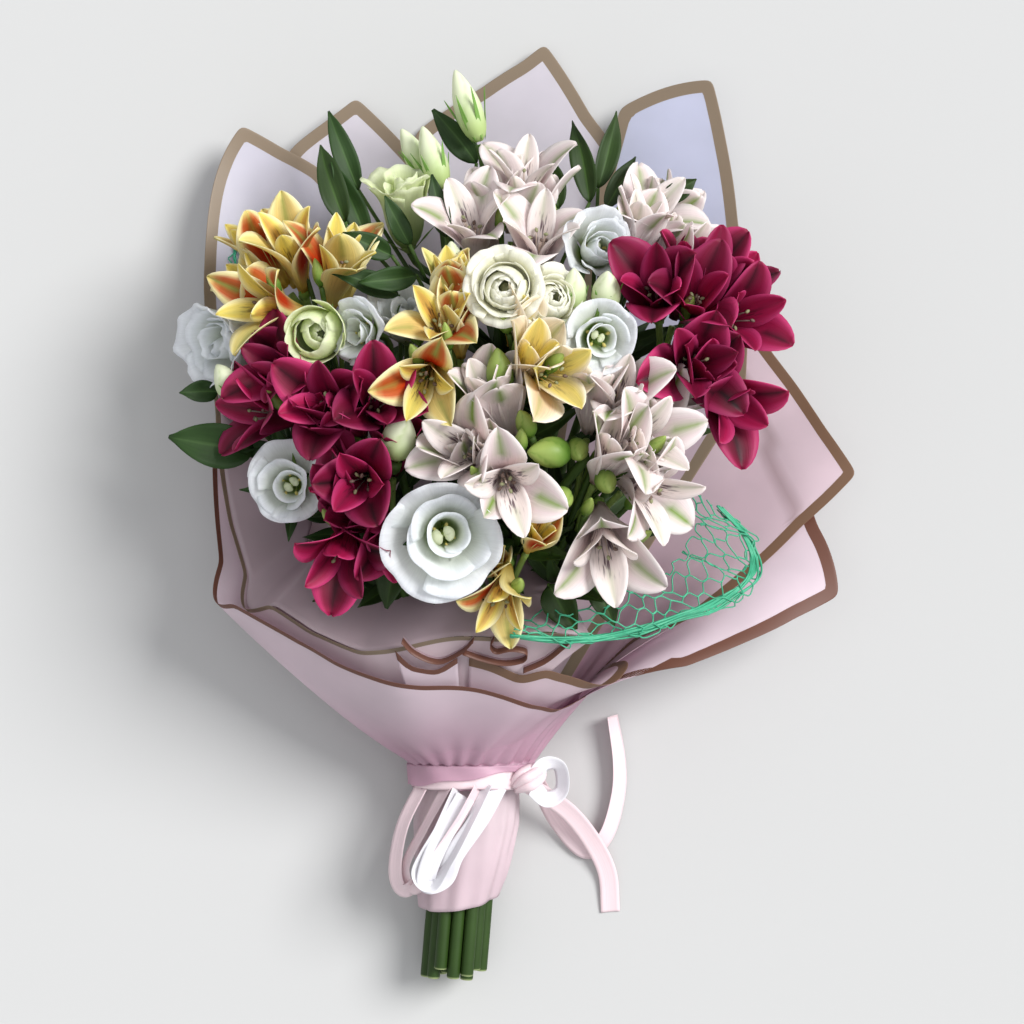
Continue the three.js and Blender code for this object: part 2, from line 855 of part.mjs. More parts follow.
// The places of the stalks in the hand, as offsets from the middle of the bundle.
function handPlaces() {
  const rise = STALK_PITCH * Math.sin(Math.PI / 3);
  return ROWS_IN_HAND.flatMap((count, row) =>
    Array.from({ length: count }, (_, k) => ({
      x: (k - (count - 1) / 2) * STALK_PITCH,
      z: (row - (ROWS_IN_HAND.length - 1) / 2) * rise,
    })),
  );
}

// The point on a stalk's straight part below the binding.
function onBundle(place, y) {
  const t = y - TIE.y;
  return vec(TIE.x + place.x + RUN.x * t, y, TIE.z + place.z + RUN.z * t);
}

// The feet of a stalk's blooms and the roots of its buds, each with the way it points.
const footsOf = (stalk) =>
  blooms
    .filter((bloom) => bloom.stalk === stalk)
    .map(({ base, frame, head }) => ({ end: base, way: frame.z, head, radius: 2.1 }));
const budTipsOf = (stalk) =>
  (stalk.buds ?? []).map(([x, y, z, tipX, tipY, tipZ, width]) => {
    const end = vec(x, y, z);
    const way = vec(tipX, tipY, tipZ).sub(end).normalize();
    return { end: end.addScaledVector(way, -1), way, radius: 0.2 * width, row: [x, y, z, tipX, tipY, tipZ, width] };
  });

// Where a stalk forks: the mean of its tips, pulled back toward the binding.
function hubOf(stalk) {
  const tips = [...footsOf(stalk), ...budTipsOf(stalk)];
  const mean = tips.reduce((sum, tip) => sum.add(tip.end), vec(0, 0, 0)).divideScalar(tips.length);
  const back = TIE.clone().sub(mean);
  return mean.addScaledVector(back.clone().normalize(), Math.min(HUB_BACK, 0.5 * back.length()));
}

// How many points at the end of a strand stay where they are.
const FIXED_TOP = 3;

// Points of a smooth curve that leaves one way and arrives another, about one in every 8 mm.
function bend(from, leave, to, arrive) {
  const span = from.distanceTo(to) * 0.36;
  const curve = new THREE.CubicBezierCurve3(
    from,
    from.clone().addScaledVector(leave, span),
    to.clone().addScaledVector(arrive, -span),
    to,
  );
  return curve.getSpacedPoints(Math.max(3, Math.round(from.distanceTo(to) / 8)));
}

// How far two straight stalks crowd each other between the hand and their forks.
function crowding(one, other) {
  let sum = 0;
  for (let t = 0; t <= 1; t += 0.05) {
    const a = onBundle(one.place, TIE.y).lerp(one.hub, t);
    const b = onBundle(other.place, TIE.y).lerp(other.hub, t);
    sum += Math.max(0, 9 - a.distanceTo(b)) ** 2;
  }
  return sum;
}

// Gives each stalk its place in the hand. Stalks that climb least start in the lowest row, the
// left ones at the left, and then any two change places where that leaves more room.
function dealPlaces() {
  const ahead = ({ hub }) => Math.hypot(hub.x - TIE.x, hub.y - TIE.y);
  const climb = (stalk) => (stalk.hub.z - TIE.z) / ahead(stalk);
  const heading = ({ hub }) => (hub.x - TIE.x) / (hub.y - TIE.y + 60);
  const sorted = [...STALKS].sort((a, b) => climb(a) - climb(b));
  const places = handPlaces();
  ROWS_IN_HAND.forEach((count, row) => {
    const start = ROWS_IN_HAND.slice(0, row).reduce((sum, n) => sum + n, 0);
    const inRow = sorted.slice(start, start + count).sort((a, b) => heading(a) - heading(b));
    inRow.forEach((stalk, k) => {
      stalk.place = places[start + k];
    });
  });
  const crowd = (stalk) =>
    STALKS.reduce((sum, other) => (other === stalk ? sum : sum + crowding(stalk, other)), 0);
  for (let pass = 0; pass < 4; pass += 1) {
    STALKS.forEach((one, i) =>
      STALKS.slice(i + 1).forEach((other) => {
        const before = crowd(one) + crowd(other);
        [one.place, other.place] = [other.place, one.place];
        if (crowd(one) + crowd(other) >= before) {
          [one.place, other.place] = [other.place, one.place];
        }
      }),
    );
  }
}

// The strands of a stalk. The stem runs up to the fork, or straight into a lone bowl-shaped bloom.
// Pedicels of florets belong to their umbel, those of bowls and buds to the stalk.
function strandsOf(stalk) {
  const foots = footsOf(stalk);
  const budTips = budTipsOf(stalk);
  const foot = onBundle(stalk.place, TIE.y);
  const leave = RUN.clone().normalize();
  const lone = foots.length === 1 && !budTips.length && foots[0].head.bowls;
  if (lone) {
    const [{ end, way, radius }] = foots;
    const under = end.clone().addScaledVector(way, -0.6);
    return [{ owner: stalk, stem: true, points: bend(foot, leave, under, way), from: STALK_RADIUS, to: radius }];
  }
  const { hub } = stalk;
  const arrive = hub.clone().sub(foot).normalize();
  const points = bend(foot, leave, hub, arrive);
  const stem = { owner: stalk, stem: true, points, from: STALK_RADIUS, to: FORK_RADIUS };
  const umbel = foots.some(({ head }) => head.florets);
  const forks = foots.map(({ end, way, head, radius }) => {
    const start = head.florets ? hub.clone().addScaledVector(arrive, 2.4) : hub;
    const stop = end.clone().addScaledVector(way, head.florets ? 0.4 : -0.6);
    return {
      owner: head.florets ? head : stalk,
      points: bend(start, arrive, stop, way),
      from: PEDICEL_RADIUS,
      to: radius,
    };
  });
  const budForks = budTips.map(({ end, way, radius, row }) => ({
    owner: stalk,
    row,
    points: bend(points[points.length - (umbel ? FIXED_TOP : 2)].clone(), arrive, end, way),
    from: 1.3,
    to: radius,
  }));
  return [stem, ...forks, ...budForks];
}

const radiusAt = (strand, i) => mix(strand.from, strand.to, i / (strand.points.length - 1));

// Pushes strands of different owners apart, and away from the blooms of other stalks, then
// smooths them, round after round. The ends of a strand stay where they are.
function spread(strands) {
  const beads = strands.flatMap((strand) =>
    strand.points.map((point, i) => ({
      strand,
      point,
      radius: radiusAt(strand, i),
      ease: strand.stem ? Math.min(1, i / 6) : 0.4,
      free: i > (strand.stem ? 0 : 1) && i < strand.points.length - FIXED_TOP,
    })),
  );
  const shove = (bead, from, room) => {
    const gap = bead.point.clone().sub(from);
    const distance = gap.length();
    if (distance < room && distance > 1e-6) {
      bead.point.addScaledVector(gap, (0.5 * (room - distance)) / distance);
    }
  };
  for (let round = 0; round < 60; round += 1) {
    for (const bead of beads) {
      if (!bead.free) continue;
      for (const other of beads) {
        if (other.strand.owner === bead.strand.owner) continue;
        if (Math.abs(other.point.x - bead.point.x) > 10) continue;
        shove(bead, other.point, bead.radius + other.radius + 0.3 + 1.4 * bead.ease);
      }
      for (const bloom of blooms) {
        if (bloom.head === bead.strand.owner || bloom.stalk === bead.strand.owner) continue;
        shove(bead, bloom.middle, bead.radius + 0.34 * bloom.across);
      }
    }
    for (const { points, stem } of strands) {
      for (let i = stem ? 1 : 2; i < points.length - FIXED_TOP; i += 1) {
        const mean = points[i - 1].clone().add(points[i + 1]).multiplyScalar(0.5);
        points[i].lerp(mean, 0.3);
      }
    }
  }
}

// A rod along a strand, through about one point in every 55 mm of it, and on into its bud.
function rodOf(strand, lead = []) {
  const last = strand.points.length - 1;
  const parts = Math.max(2, Math.round(last / 7));
  const picks = Array.from({ length: parts + 1 }, (_, k) => Math.round((k * last) / parts));
  const path = [...lead, ...picks.map((i) => strand.points[i])];
  const radii = [...lead.map(() => strand.from), ...picks.map((i) => radiusAt(strand, i))];
  if (!strand.row) return rod(path, radii, 5);
  const [x, y, z, tipX, tipY, tipZ, width] = strand.row;
  return budRod(path, radii, vec(x, y, z), vec(tipX, tipY, tipZ), width);
}

STALKS.forEach((stalk) => {
  stalk.hub = hubOf(stalk);
});
dealPlaces();
const strands = STALKS.flatMap(strandsOf);
spread(strands);
const strandsBy = (owner) => strands.filter((strand) => strand.owner === owner);

// The stem, forks and buds of a stalk, in one body, without its leaves.
const cutLength = seeded(11);
function bareStalk(stalk) {
  const cut = onBundle(stalk.place, mix(CUT_ENDS[0], CUT_ENDS[1], cutLength()));
  return joined(strandsBy(stalk).map((strand) => rodOf(strand, strand.stem ? [cut] : [])));
}

// The knot that carries the pedicels of an umbel, seated on the end of its stalk.
function knotOf(stalk) {
  const stem = strandsBy(stalk)[0].points;
  const top = stem[stem.length - 1];
  const way = top.clone().sub(stem[stem.length - 2]).normalize();
  const path = [0.4, 3.4, 6.5].map((d) => top.clone().addScaledVector(way, d));
  return rod(path, [2.4, 3.3, 2], 5);
}

// ---- wrapping film ------------------------------------------------------------------------------

// The cone of film opens unevenly: wide and flat underneath and at the sides, short and steep in
// front. A ray runs from the binding through a point halfway to its far end. The turn runs round
// the binding: 0 at the right, 90 in front (up), 180 at the left, 270 or -90 underneath.
const RAYS = [
  { turn: -90, half: [-9, 88, -4], far: [5, 320, 14] },
  { turn: -75, half: [20, 84, -4], far: [55, 310, 16] },
  { turn: -60, half: [48, 72, -3], far: [100, 285, 20] },
  { turn: -45, half: [70, 50, -1], far: [140, 240, 22] },
  { turn: -30, half: [85, 20, 2], far: [168, 180, 22] },
  { turn: -15, half: [94, -15, 9], far: [190, 120, 24] },
  { turn: 0, half: [92, -50, 24], far: [212, 60, 32] },
  { turn: 15, half: [84, -72, 44], far: [220, -5, 38] },
  { turn: 30, half: [70, -87, 66], far: [198, -60, 42] },
  { turn: 45, half: [50, -99, 78], far: [135, -92, 66] },
  { turn: 60, half: [30, -107, 85], far: [86, -96, 96] },
  { turn: 75, half: [11, -111, 90], far: [46, -89, 114] },
  { turn: 90, half: [-9, -112, 92], far: [5, -76, 126] },
  { turn: 105, half: [-32, -112, 90], far: [-35, -72, 125] },
  { turn: 120, half: [-57, -112, 83], far: [-76, -72, 117] },
  { turn: 135, half: [-79, -112, 70], far: [-116, -68, 105] },
  { turn: 150, half: [-99, -106, 52], far: [-162, -52, 80] },
  { turn: 165, half: [-112, -80, 37], far: [-184, 15, 60] },
  { turn: 180, half: [-118, -40, 25], far: [-198, 88, 44] },
  { turn: 195, half: [-120, 0, 14], far: [-202, 165, 32] },
  { turn: 210, half: [-113, 40, 5], far: [-188, 230, 25] },
  { turn: 225, half: [-95, 62, 0], far: [-150, 265, 20] },
  { turn: 240, half: [-70, 74, -3], far: [-105, 285, 16] },
  { turn: 255, half: [-40, 84, -4], far: [-50, 310, 14] },
  { turn: 270, half: [-9, 88, -4], far: [5, 320, 14] },
];

// A ray of the cone at any turn, between the listed ones.
function rayAt(turn) {
  const place = ((turn + 450) % 360) / 15;
  const i = Math.floor(place);
  const between = (key) => vec(...RAYS[i][key].map((value, k) => mix(value, RAYS[i + 1][key][k], place - i)));
  const angle = radians(turn);
  return {
    root: vec(TIE.x + ROOT_WIDE * Math.cos(angle), ROOT_Y, TIE.z + ROOT_TALL * Math.sin(angle)),
    half: between("half"),
    far: between("far"),
  };
}

// The point of the outermost film at a turn and a fraction t of the ray. Below t = 0 it is the
// straight sleeve in the binding.
function onCone(turn, t) {
  const { root, half, far } = rayAt(turn);
  if (t <= 0) return root.clone().setY(mix(ROOT_Y, SLEEVE_Y, -t));
  const point = root.clone().multiplyScalar((1 - t) * (1 - 2 * t));
  point.addScaledVector(half, 4 * t * (1 - t)).addScaledVector(far, t * (2 * t - 1));
  return point.setZ(Math.max(point.z, FILM / 2));
}

// The same for a layer further in, moved along the surface's inward normal.
function onLayer(layer, turn, t) {
  const point = onCone(turn, t);
  const step = Math.max(t, 0.02);
  const across = onCone(turn + 1, step).sub(onCone(turn - 1, step));
  const along = onCone(turn, step + 0.02).sub(onCone(turn, step - 0.015));
  const inward = across.cross(along).normalize();
  if (t <= 0) inward.setY(0).normalize();
  return point.addScaledVector(inward, layer * mix(LAYER_AT_ROOT, LAYER_AT_RIM, Math.max(t, 0)));
}

// The turn and fraction at which the cone, seen from above, passes through a rim point: the
// nearest of a coarse grid of places, found again in ever smaller steps.
function placeOnCone(x, y, low, high) {
  const off = ({ turn, t }) => {
    const point = onCone(turn, t);
    return Math.hypot(point.x - x, point.y - y);
  };
  let best = { turn: low, t: 1 };
  for (let turn = low; turn <= high; turn += 2) {
    for (let t = 0.3; t <= 1.1; t += 0.02) {
      if (off({ turn, t }) < off(best)) best = { turn, t };
    }
  }
  for (let step = 1; step > 0.02; step /= 2) {
    for (const [dTurn, dt] of [
      [step, 0],
      [-step, 0],
      [0, 0.01 * step],
      [0, -0.01 * step],
    ]) {
      const next = { turn: best.turn + dTurn, t: best.t + dt };
      if (off(next) < off(best)) best = next;
    }
  }
  return best;
}

// Sheets of film: the layer, the turns searched for the rim, and the rim's points in plan.
const SHEETS = {
  wrap_front: {
    layer: 0,
    turns: [-12, 205],
    rim: [
      [150, 55],
      [173, -8],
      [185, -53],
      [157, -70],
      [128, -84],
      [81, -88],
      [51, -95],
      [28, -101],
      [7, -105],
      [-21, -97],
      [-48, -94],
      [-76, -89],
      [-97, -84],
      [-117, -74],
      [-154, -52],
      [-163, -28],
      [-169, 32],
      [-158, 80],
    ],
  },
  wrap_back: {
    layer: 0,
    turns: [-90, 20],
    rim: [
      [92, 151],
      [74, 185],
      [45, 229],
      [19, 269],
      [6, 259],
    ],
  },
  wrap_left: {
    layer: 2,
    turns: [80, 255],
    rim: [
      [-6, -74],
      [-30, -73],
      [-55, -72],
      [-88, -67],
      [-117, -55],
      [-144, -22],
      [-162, 17],
      [-172, 57],
      [-177, 91],
      [-180, 126],
      [-178, 160],
      [-170, 196],
      [-156, 221],
      [-132, 208],
      [-111, 197],
      [-93, 176],
    ],
  },
  wrap_back_left: {
    layer: 1,
    turns: [205, 268],
    rim: [
      [-144, 179],
      [-127, 209],
      [-108, 224],
      [-90, 238],
      [-64, 213],
      [-41, 185],
    ],
  },
  wrap_back_right: {
    layer: 2,
    turns: [-88, 0],
    rim: [
      [51, 188],
      [63, 232],
      [85, 242],
      [116, 247],
      [124, 212],
      [131, 166],
      [137, 115],
      [135, 64],
    ],
  },
  wrap_right: {
    layer: 1.6,
    turns: [-40, 112],
    rim: [
      [120, 140],
      [138, 108],
      [151, 90],
      [164, 72],
      [180, 46],
      [196, 20],
      [181, 4],
      [165, -11],
      [134, -41],
      [104, -64],
      [70, -76],
      [35, -80],
      [20, -92],
      [5, -95],
      [-10, -88],
      [-24, -84],
    ],
  },
  wrap_fold: {
    layer: 1,
    turns: [102, 135],
    rim: [
      [-30, -82],
      [-41, -89],
      [-55, -86],
      [-64, -77],
    ],
  },
};

// The rest of the underlying sheet, left of its apex.
const BACK_LEFT_RIM = [
  [-18, 244],
  [-55, 219],
  [-68, 179],
];

const FILM_ROWS = [-1, 0, 0.34, 0.68, 1];

// Adds places between two that lie far apart round the cone.
function evened(places) {
  return places.flatMap((place, i) => {
    if (i === 0) return [place];
    const last = places[i - 1];
    const parts = Math.ceil(Math.abs(place.turn - last.turn) / 13);
    return Array.from({ length: parts }, (_, k) => ({
      turn: mix(last.turn, place.turn, (k + 1) / parts),
      t: mix(last.t, place.t, (k + 1) / parts),
    }));
  });
}

// A sheet of film from the binding up to its rim.
function filmBetween(layer, places) {
  const rows = FILM_ROWS.map((share) =>
    evened(places).map(({ turn, t }) => onLayer(layer, turn, share < 0 ? share : share * t)),
  );
  return sheet(rows, FILM);
}

function filmSheet({ layer, turns, rim }) {
  return filmBetween(
    layer,
    rim.map(([x, y]) => placeOnCone(x, y, turns[0], turns[1])),
  );
}

// The sheet underneath spans both sides of the turn at which the rays begin and end.
function backSheet() {
  const { layer, turns, rim } = SHEETS.wrap_back;
  const right = rim.map(([x, y]) => placeOnCone(x, y, turns[0], turns[1]));
  const left = BACK_LEFT_RIM.map(([x, y]) => placeOnCone(x, y, 235, 270));
  return filmBetween(layer, [...right, ...left.map(({ turn, t }) => ({ turn: turn - 360, t }))]);
}

// The film below the binding, drawn in round the stalks, with soft folds.
function skirt() {
  const layers = 3.5;
  const stations = [
    { y: -138, wide: ROOT_WIDE - layers * LAYER_AT_ROOT, tall: ROOT_TALL - layers * LAYER_AT_ROOT, fold: 0 },
    { y: -157, wide: ROOT_WIDE - layers * LAYER_AT_ROOT, tall: ROOT_TALL - layers * LAYER_AT_ROOT, fold: 0 },
    { y: -178, wide: 29, tall: 21.5, fold: 0.9 },
    { y: -200, wide: 25.5, tall: 21, fold: 1.2 },
    { y: SKIRT_HEM_Y, wide: 21.8, tall: 20.8, fold: 0.9 },
  ];
  const columns = 14;
  const rows = stations.map(({ y, wide, tall, fold }, i) =>
    Array.from({ length: columns }, (_, k) => {
      const angle = (2 * Math.PI * k) / columns;
      const swell = 1 + (fold * Math.cos(4 * angle + 0.6)) / wide;
      const drop = i === stations.length - 1 ? 5 * Math.sin(angle + 2.4) : 0;
      const middle = onBundle({ x: 0, z: 0 }, Math.min(y, TIE.y));
      return vec(
        middle.x + wide * swell * Math.cos(angle),
        y + drop,
        middle.z + tall * Math.sin(angle) + (fold > 0 ? 0.5 : 0),
      );
    }),
  );
  return sheet(rows, FILM, true);
}

// ---- net --------------------------------------------------------------------------------------

// A net of flat strands between two edge lines, puffed up between them.
function net(outer, inner, cells, lanes, puff) {
  const first = new THREE.CatmullRomCurve3(outer.map((p) => vec(...p)));
  const second = new THREE.CatmullRomCurve3(inner.map((p) => vec(...p)));
  const wobble = seeded(23);
  const lift = Array.from({ length: cells + 1 }, () => 0.75 + 0.5 * wobble());
  const spots = (i, v) => {
    const low = Math.min(Math.floor(i), cells - 1);
    const rise = puff * Math.sin(Math.PI * (0.12 + 0.8 * v)) * mix(lift[low], lift[low + 1], i - low);
    return first
      .getPoint(i / cells)
      .lerp(second.getPoint(i / cells), v)
      .add(vec(0, 0, rise));
  };
  const knots = Array.from({ length: lanes + 1 }, (_, r) =>
    Array.from({ length: cells + 1 }, (_, c) => spots(c, r / lanes)),
  );
  return meshOfCells(knots, 1, 0.3);
}

// A net over a grid of knots: each cell is a ring of flat strands round a four-sided hole, whose
// corners lie a share of the way from the knots to the cell's middle.
function meshOfCells(knots, thickness, share) {
  const normals = gridNormals(knots, false);
  const width = knots[0].length;
  const points = [];
  const add = (point) => points.push(point) - 1;
  const pair = (point, normal) =>
    [1, -1].map((side) => add(point.clone().addScaledVector(normal, (side * thickness) / 2)));
  const corners = knots.map((row, i) => row.map((point, j) => pair(point, normals[i][j])));
  const triangles = [];
  const wall = ([a, e], [b, f]) => triangles.push([b, a, e], [b, e, f]);
  for (let i = 0; i < knots.length - 1; i += 1) {
    for (let j = 0; j < width - 1; j += 1) {
      const around4 = [
        [i, j],
        [i, j + 1],
        [i + 1, j + 1],
        [i + 1, j],
      ];
      const middle = around4.reduce((sum, [r, c]) => sum.add(knots[r][c]), vec(0, 0, 0)).divideScalar(4);
      const rim = around4.map(([r, c]) => corners[r][c]);
      const hole = around4.map(([r, c]) => pair(knots[r][c].clone().lerp(middle, share), normals[r][c]));
      const onEdge = [i === 0, j === width - 2, i === knots.length - 2, j === 0];
      for (let k = 0; k < 4; k += 1) {
        const next = (k + 1) % 4;
        const [a, b, c, d] = [rim[k], rim[next], hole[next], hole[k]];
        triangles.push([a[0], b[0], c[0]], [a[0], c[0], d[0]]);
        triangles.push([a[1], c[1], b[1]], [a[1], d[1], c[1]]);
        wall(c, d);
        if (onEdge[k]) wall(a, b);
      }
    }
  }
  return solidOf(points, triangles);
}

// ---- ribbon and twine -----------------------------------------------------------------------------

// A flat ribbon along a line of points. Each point may tip the ribbon by its own angle.
function ribbon(points, tips, width, parts) {
  const curve = new THREE.CatmullRomCurve3(points.map((p) => vec(...p)));
  const rows = [];
  for (let i = 0; i <= parts; i += 1) {
    const t = i / parts;
    const place = t * (tips.length - 1);
    const low = Math.min(Math.floor(place), tips.length - 2);
    const tip = mix(tips[low], tips[low + 1], place - low);
    const way = curve.getTangent(t);
    const level = way.clone().cross(vec(0, 0, 1)).normalize();
    const across = level.applyAxisAngle(way, radians(tip));
    const middle = curve.getPoint(t);
    rows.push([-0.5, 0.5].map((u) => middle.clone().addScaledVector(across, u * width)));
  }
  return sheet(rows, RIBBON);
}

// A band round the bundle: an ellipse of even thickness, which may follow the stalks' own slant.
function band({ wide, tall, from, to, thickness, columns, along = false }) {
  const rows = [from, to].map((y) => {
    const middle = onBundle({ x: 0, z: 0 }, along ? y : TIE.y);
    return Array.from({ length: columns }, (_, k) => {
      const angle = (2 * Math.PI * k) / columns;
      return vec(middle.x + wide * Math.cos(angle), y, middle.z + tall * Math.sin(angle));
    });
  });
  return sheet(rows, thickness, true);
}

// ---- assembly -----------------------------------------------------------------------------------

const looks = new Map();
const pieces = new Map();
const group = new THREE.Group();

function keep(name, solid, colour, roughness) {
  pieces.set(name, solid);
  looks.set(name, { color: colour, roughness, metalness: 0 });
}

// The film comes first, then the bare stalks, which keep clear of one another and of the film.
const placed = [];
const settledOf = (owner) => placed.filter((item) => item.owner !== owner).map(({ solid }) => solid);
Object.entries(SHEETS).forEach(([name, data]) => {
  const raw = name === "wrap_back" ? backSheet() : filmSheet(data);
  placed.push({ owner: name, solid: cleared(raw, settledOf(name)) });
  keep(name, placed.at(-1).solid, FILM_PINK, 0.45);
});
placed.push({ owner: "wrap_skirt", solid: cleared(skirt(), settledOf("wrap_skirt")) });
keep("wrap_skirt", placed.at(-1).solid, FILM_PINK, 0.45);
STALKS.forEach((stalk) => {
  stalk.bare = cleared(bareStalk(stalk), settledOf(stalk));
  placed.push({ owner: stalk, solid: stalk.bare });
});

// Pedicels next, then petals, each bent clear of all that stands already.
const heads = STALKS.flatMap((stalk) => stalk.heads.map((head) => ({ stalk, head })));
const ordered = [...heads.filter(({ head }) => head.bowls), ...heads.filter(({ head }) => head.florets)];
ordered.forEach(({ stalk, head }) => {
  head.solids = [];
  if (!head.florets) return;
  const own = blooms.filter((bloom) => bloom.head === head);
  strandsBy(head).forEach((strand, k) => {
    const path = [0, 0.45, 1].map((share) => strand.points[Math.round(share * (strand.points.length - 1))]);
    own[k].pedicel = { path, radii: [PEDICEL_RADIUS, PEDICEL_RADIUS, 2.1] };
    placed.push({ owner: head, solid: rod(path, own[k].pedicel.radii, PEDICEL_SIDES) });
  });
  head.solids.push(cleared(knotOf(stalk), settledOf(head)));
  placed.push({ owner: head, solid: head.solids[0] });
});
ordered.forEach(({ head }) => {
  blooms
    .filter((bloom) => bloom.head === head)
    .forEach((bloom) => {
      const beside = placed.filter((item) => item.bloom && item.owner === head);
      const others = [...settledOf(head), ...beside.map(({ solid }) => solid)];
      const grids = bloom.rings.map(({ petals }) => petals.map(({ grid }) => settledGrid(grid, others)));
      const solid = cleared(bloomSkin(bloom, grids), settledOf(head));
      placed.push({ owner: head, bloom, solid });
      head.solids.push(solid);
    });
  keep(head.node, mainBody(joined(head.solids)), head.colour, 0.6);
});

// Leaves grow from their own stalk and are bent clear of the rest.
const sprout = seeded(31);
STALKS.forEach((stalk) => {
  const stem = strandsBy(stalk)[0].points.slice(0, -FIXED_TOP);
  const leaves = (stalk.leaves ?? []).map(([x, y, z, tipX, tipY, tipZ, width]) => {
    const from = vec(x, y, z);
    const root = stem.reduce((best, p) => (p.distanceTo(from) < best.distanceTo(from) ? p : best));
    const bow = root.clone().lerp(from, 0.5).add(vec(0, 0, -4));
    const span = vec(tipX, tipY, tipZ).sub(from);
    const inner = from.clone().addScaledVector(span, -0.04);
    return (spreading, size) =>
      joined([
        rod([root, bow, from], [1.5, 1.2, 1], 4),
        leaf(inner, from.clone().addScaledVector(span, size), width * Math.min(1, spreading)),
      ]);
  });
  const root = stem[Math.round((stem.length - 1) * (0.6 + 0.2 * sprout()))];
  const turn = 2 * Math.PI * sprout();
  if (!leaves.length) {
    leaves.push((spreading, size) => {
      const angle = turn + 3 * (spreading - 1);
      const reach = vec(26 * Math.cos(angle), 34, 22 * Math.sin(angle)).multiplyScalar(size);
      return leaf(root, root.clone().add(reach), 13, [0, 0.45, 1]);
    });
  }
  const grownOn = leaves.map((make) => {
    const solid = settled(make, settledOf(stalk));
    placed.push({ owner: stalk, solid });
    return solid;
  });
  keep("stalk_" + stalk.name, mainBody(joined([stalk.bare, ...grownOn])), GREEN, 0.6);
});

// The net lies between the flowers and the film.
const everything = () => [...pieces.values()];
const NET_RIGHT_EDGE = [
  [-1, -68, 127],
  [30, -71, 121],
  [60, -69, 112],
  [90, -61, 98],
  [118, -52, 84],
  [137, -37, 74],
  [134, -18, 74],
  [116, 2, 82],
];
const NET_RIGHT_ROOT = [
  [-2, -58, 116],
  [25, -54, 112],
  [52, -47, 108],
  [76, -38, 100],
  [92, -26, 94],
  [100, -14, 92],
  [102, -4, 92],
  [98, 8, 92],
];
const NET_LEFT_EDGE = [
  [-158, 134, 25.4],
  [-157, 158, 24.2],
  [-142, 170, 21],
];
const NET_LEFT_ROOT = [
  [-138, 134, 19],
  [-134, 146, 18.4],
  [-126, 156, 17],
];
keep("net_right", cleared(net(NET_RIGHT_EDGE, NET_RIGHT_ROOT, 9, 3, 9), everything()), NET_GREEN, 0.5);
keep("net_left", cleared(net(NET_LEFT_EDGE, NET_LEFT_ROOT, 3, 2, 4), everything()), NET_GREEN, 0.5);

// The twine binds the stalks, the satin band binds the film over it.
const twine = band({ wide: 19.8, tall: 19.8, from: -151, to: -144, thickness: 1, columns: 16, along: true });
keep("twine_binding", twine, TWINE, 0.9);
const bandSolid = joined([
  band({
    wide: ROOT_WIDE + 1.5,
    tall: ROOT_TALL + 1.5,
    from: SLEEVE_Y + 0.8,
    to: ROOT_Y - 1,
    thickness: RIBBON,
    columns: 22,
  }),
  rod([vec(3, -155, 51), vec(9, -151, 50), vec(15, -147, 44)], [3.5, 6, 3.5], 6),
]);
keep("ribbon_band", bandSolid, SATIN_PINK, 0.35);
const satin = {
  ribbon_loop_pink: {
    line: [
      [-50, -153, 44],
      [-62, -178, 47],
      [-66, -204, 46],
      [-60, -214, 48],
      [-47, -202, 52],
      [-38, -188, 54],
      [-30, -156, 53],
    ],
    tips: [20, 0, 0, 10, 0, 0, 0],
    colour: SATIN_PINK,
    parts: 10,
  },
  ribbon_loop_white: {
    line: [
      [-8, -154, 55],
      [-18, -172, 58],
      [-32, -192, 59],
      [-38, -206, 57],
      [-48, -208, 58],
      [-42, -188, 62],
      [-26, -160, 59],
    ],
    tips: [0, 0, 0, 20, 20, 0, 0],
    colour: SATIN_WHITE,
    parts: 10,
  },
  ribbon_tail_front: {
    line: [
      [8, -154, 46],
      [18, -161, 34],
      [33, -173, 20],
      [46, -190, 10],
      [55, -209, 4],
      [57, -232, 1.2],
    ],
    tips: [30, 20, 15, 10, 4, 0],
    colour: SATIN_PINK,
    parts: 8,
  },
  ribbon_tail_back: {
    line: [
      [13.5, -153, 25],
      [26, -178, 9],
      [42, -196, 5],
      [54, -188, 6],
      [61, -166, 6],
      [62, -145, 7],
      [58, -118, 8],
    ],
    tips: [30, 20, 25, 35, 40, 45, 55],
    colour: SATIN_PINK,
    parts: 10,
  },
};
Object.entries(satin).forEach(([name, { line, tips, colour, parts }]) => {
  const solid = cleared(ribbon(line, tips, RIBBON_WIDTH - 3, parts), everything());
  keep(name, solid, colour, 0.35);
});

// ---- scene graph ----------------------------------------------------------------------------------

pieces.forEach((solid, name) => {
  const clean = mainBody(solid.simplify(0.02));
  const mesh = clean.getMesh();
  const geometry = new THREE.BufferGeometry();
  geometry.setAttribute("position", new THREE.BufferAttribute(new Float32Array(mesh.vertProperties), 3));
  geometry.setIndex(new THREE.BufferAttribute(new Uint32Array(mesh.triVerts), 1));
  geometry.computeVertexNormals();
  const node = new THREE.Mesh(geometry, new THREE.MeshStandardMaterial(looks.get(name)));
  node.name = name;
  group.add(node);
});

export default group;
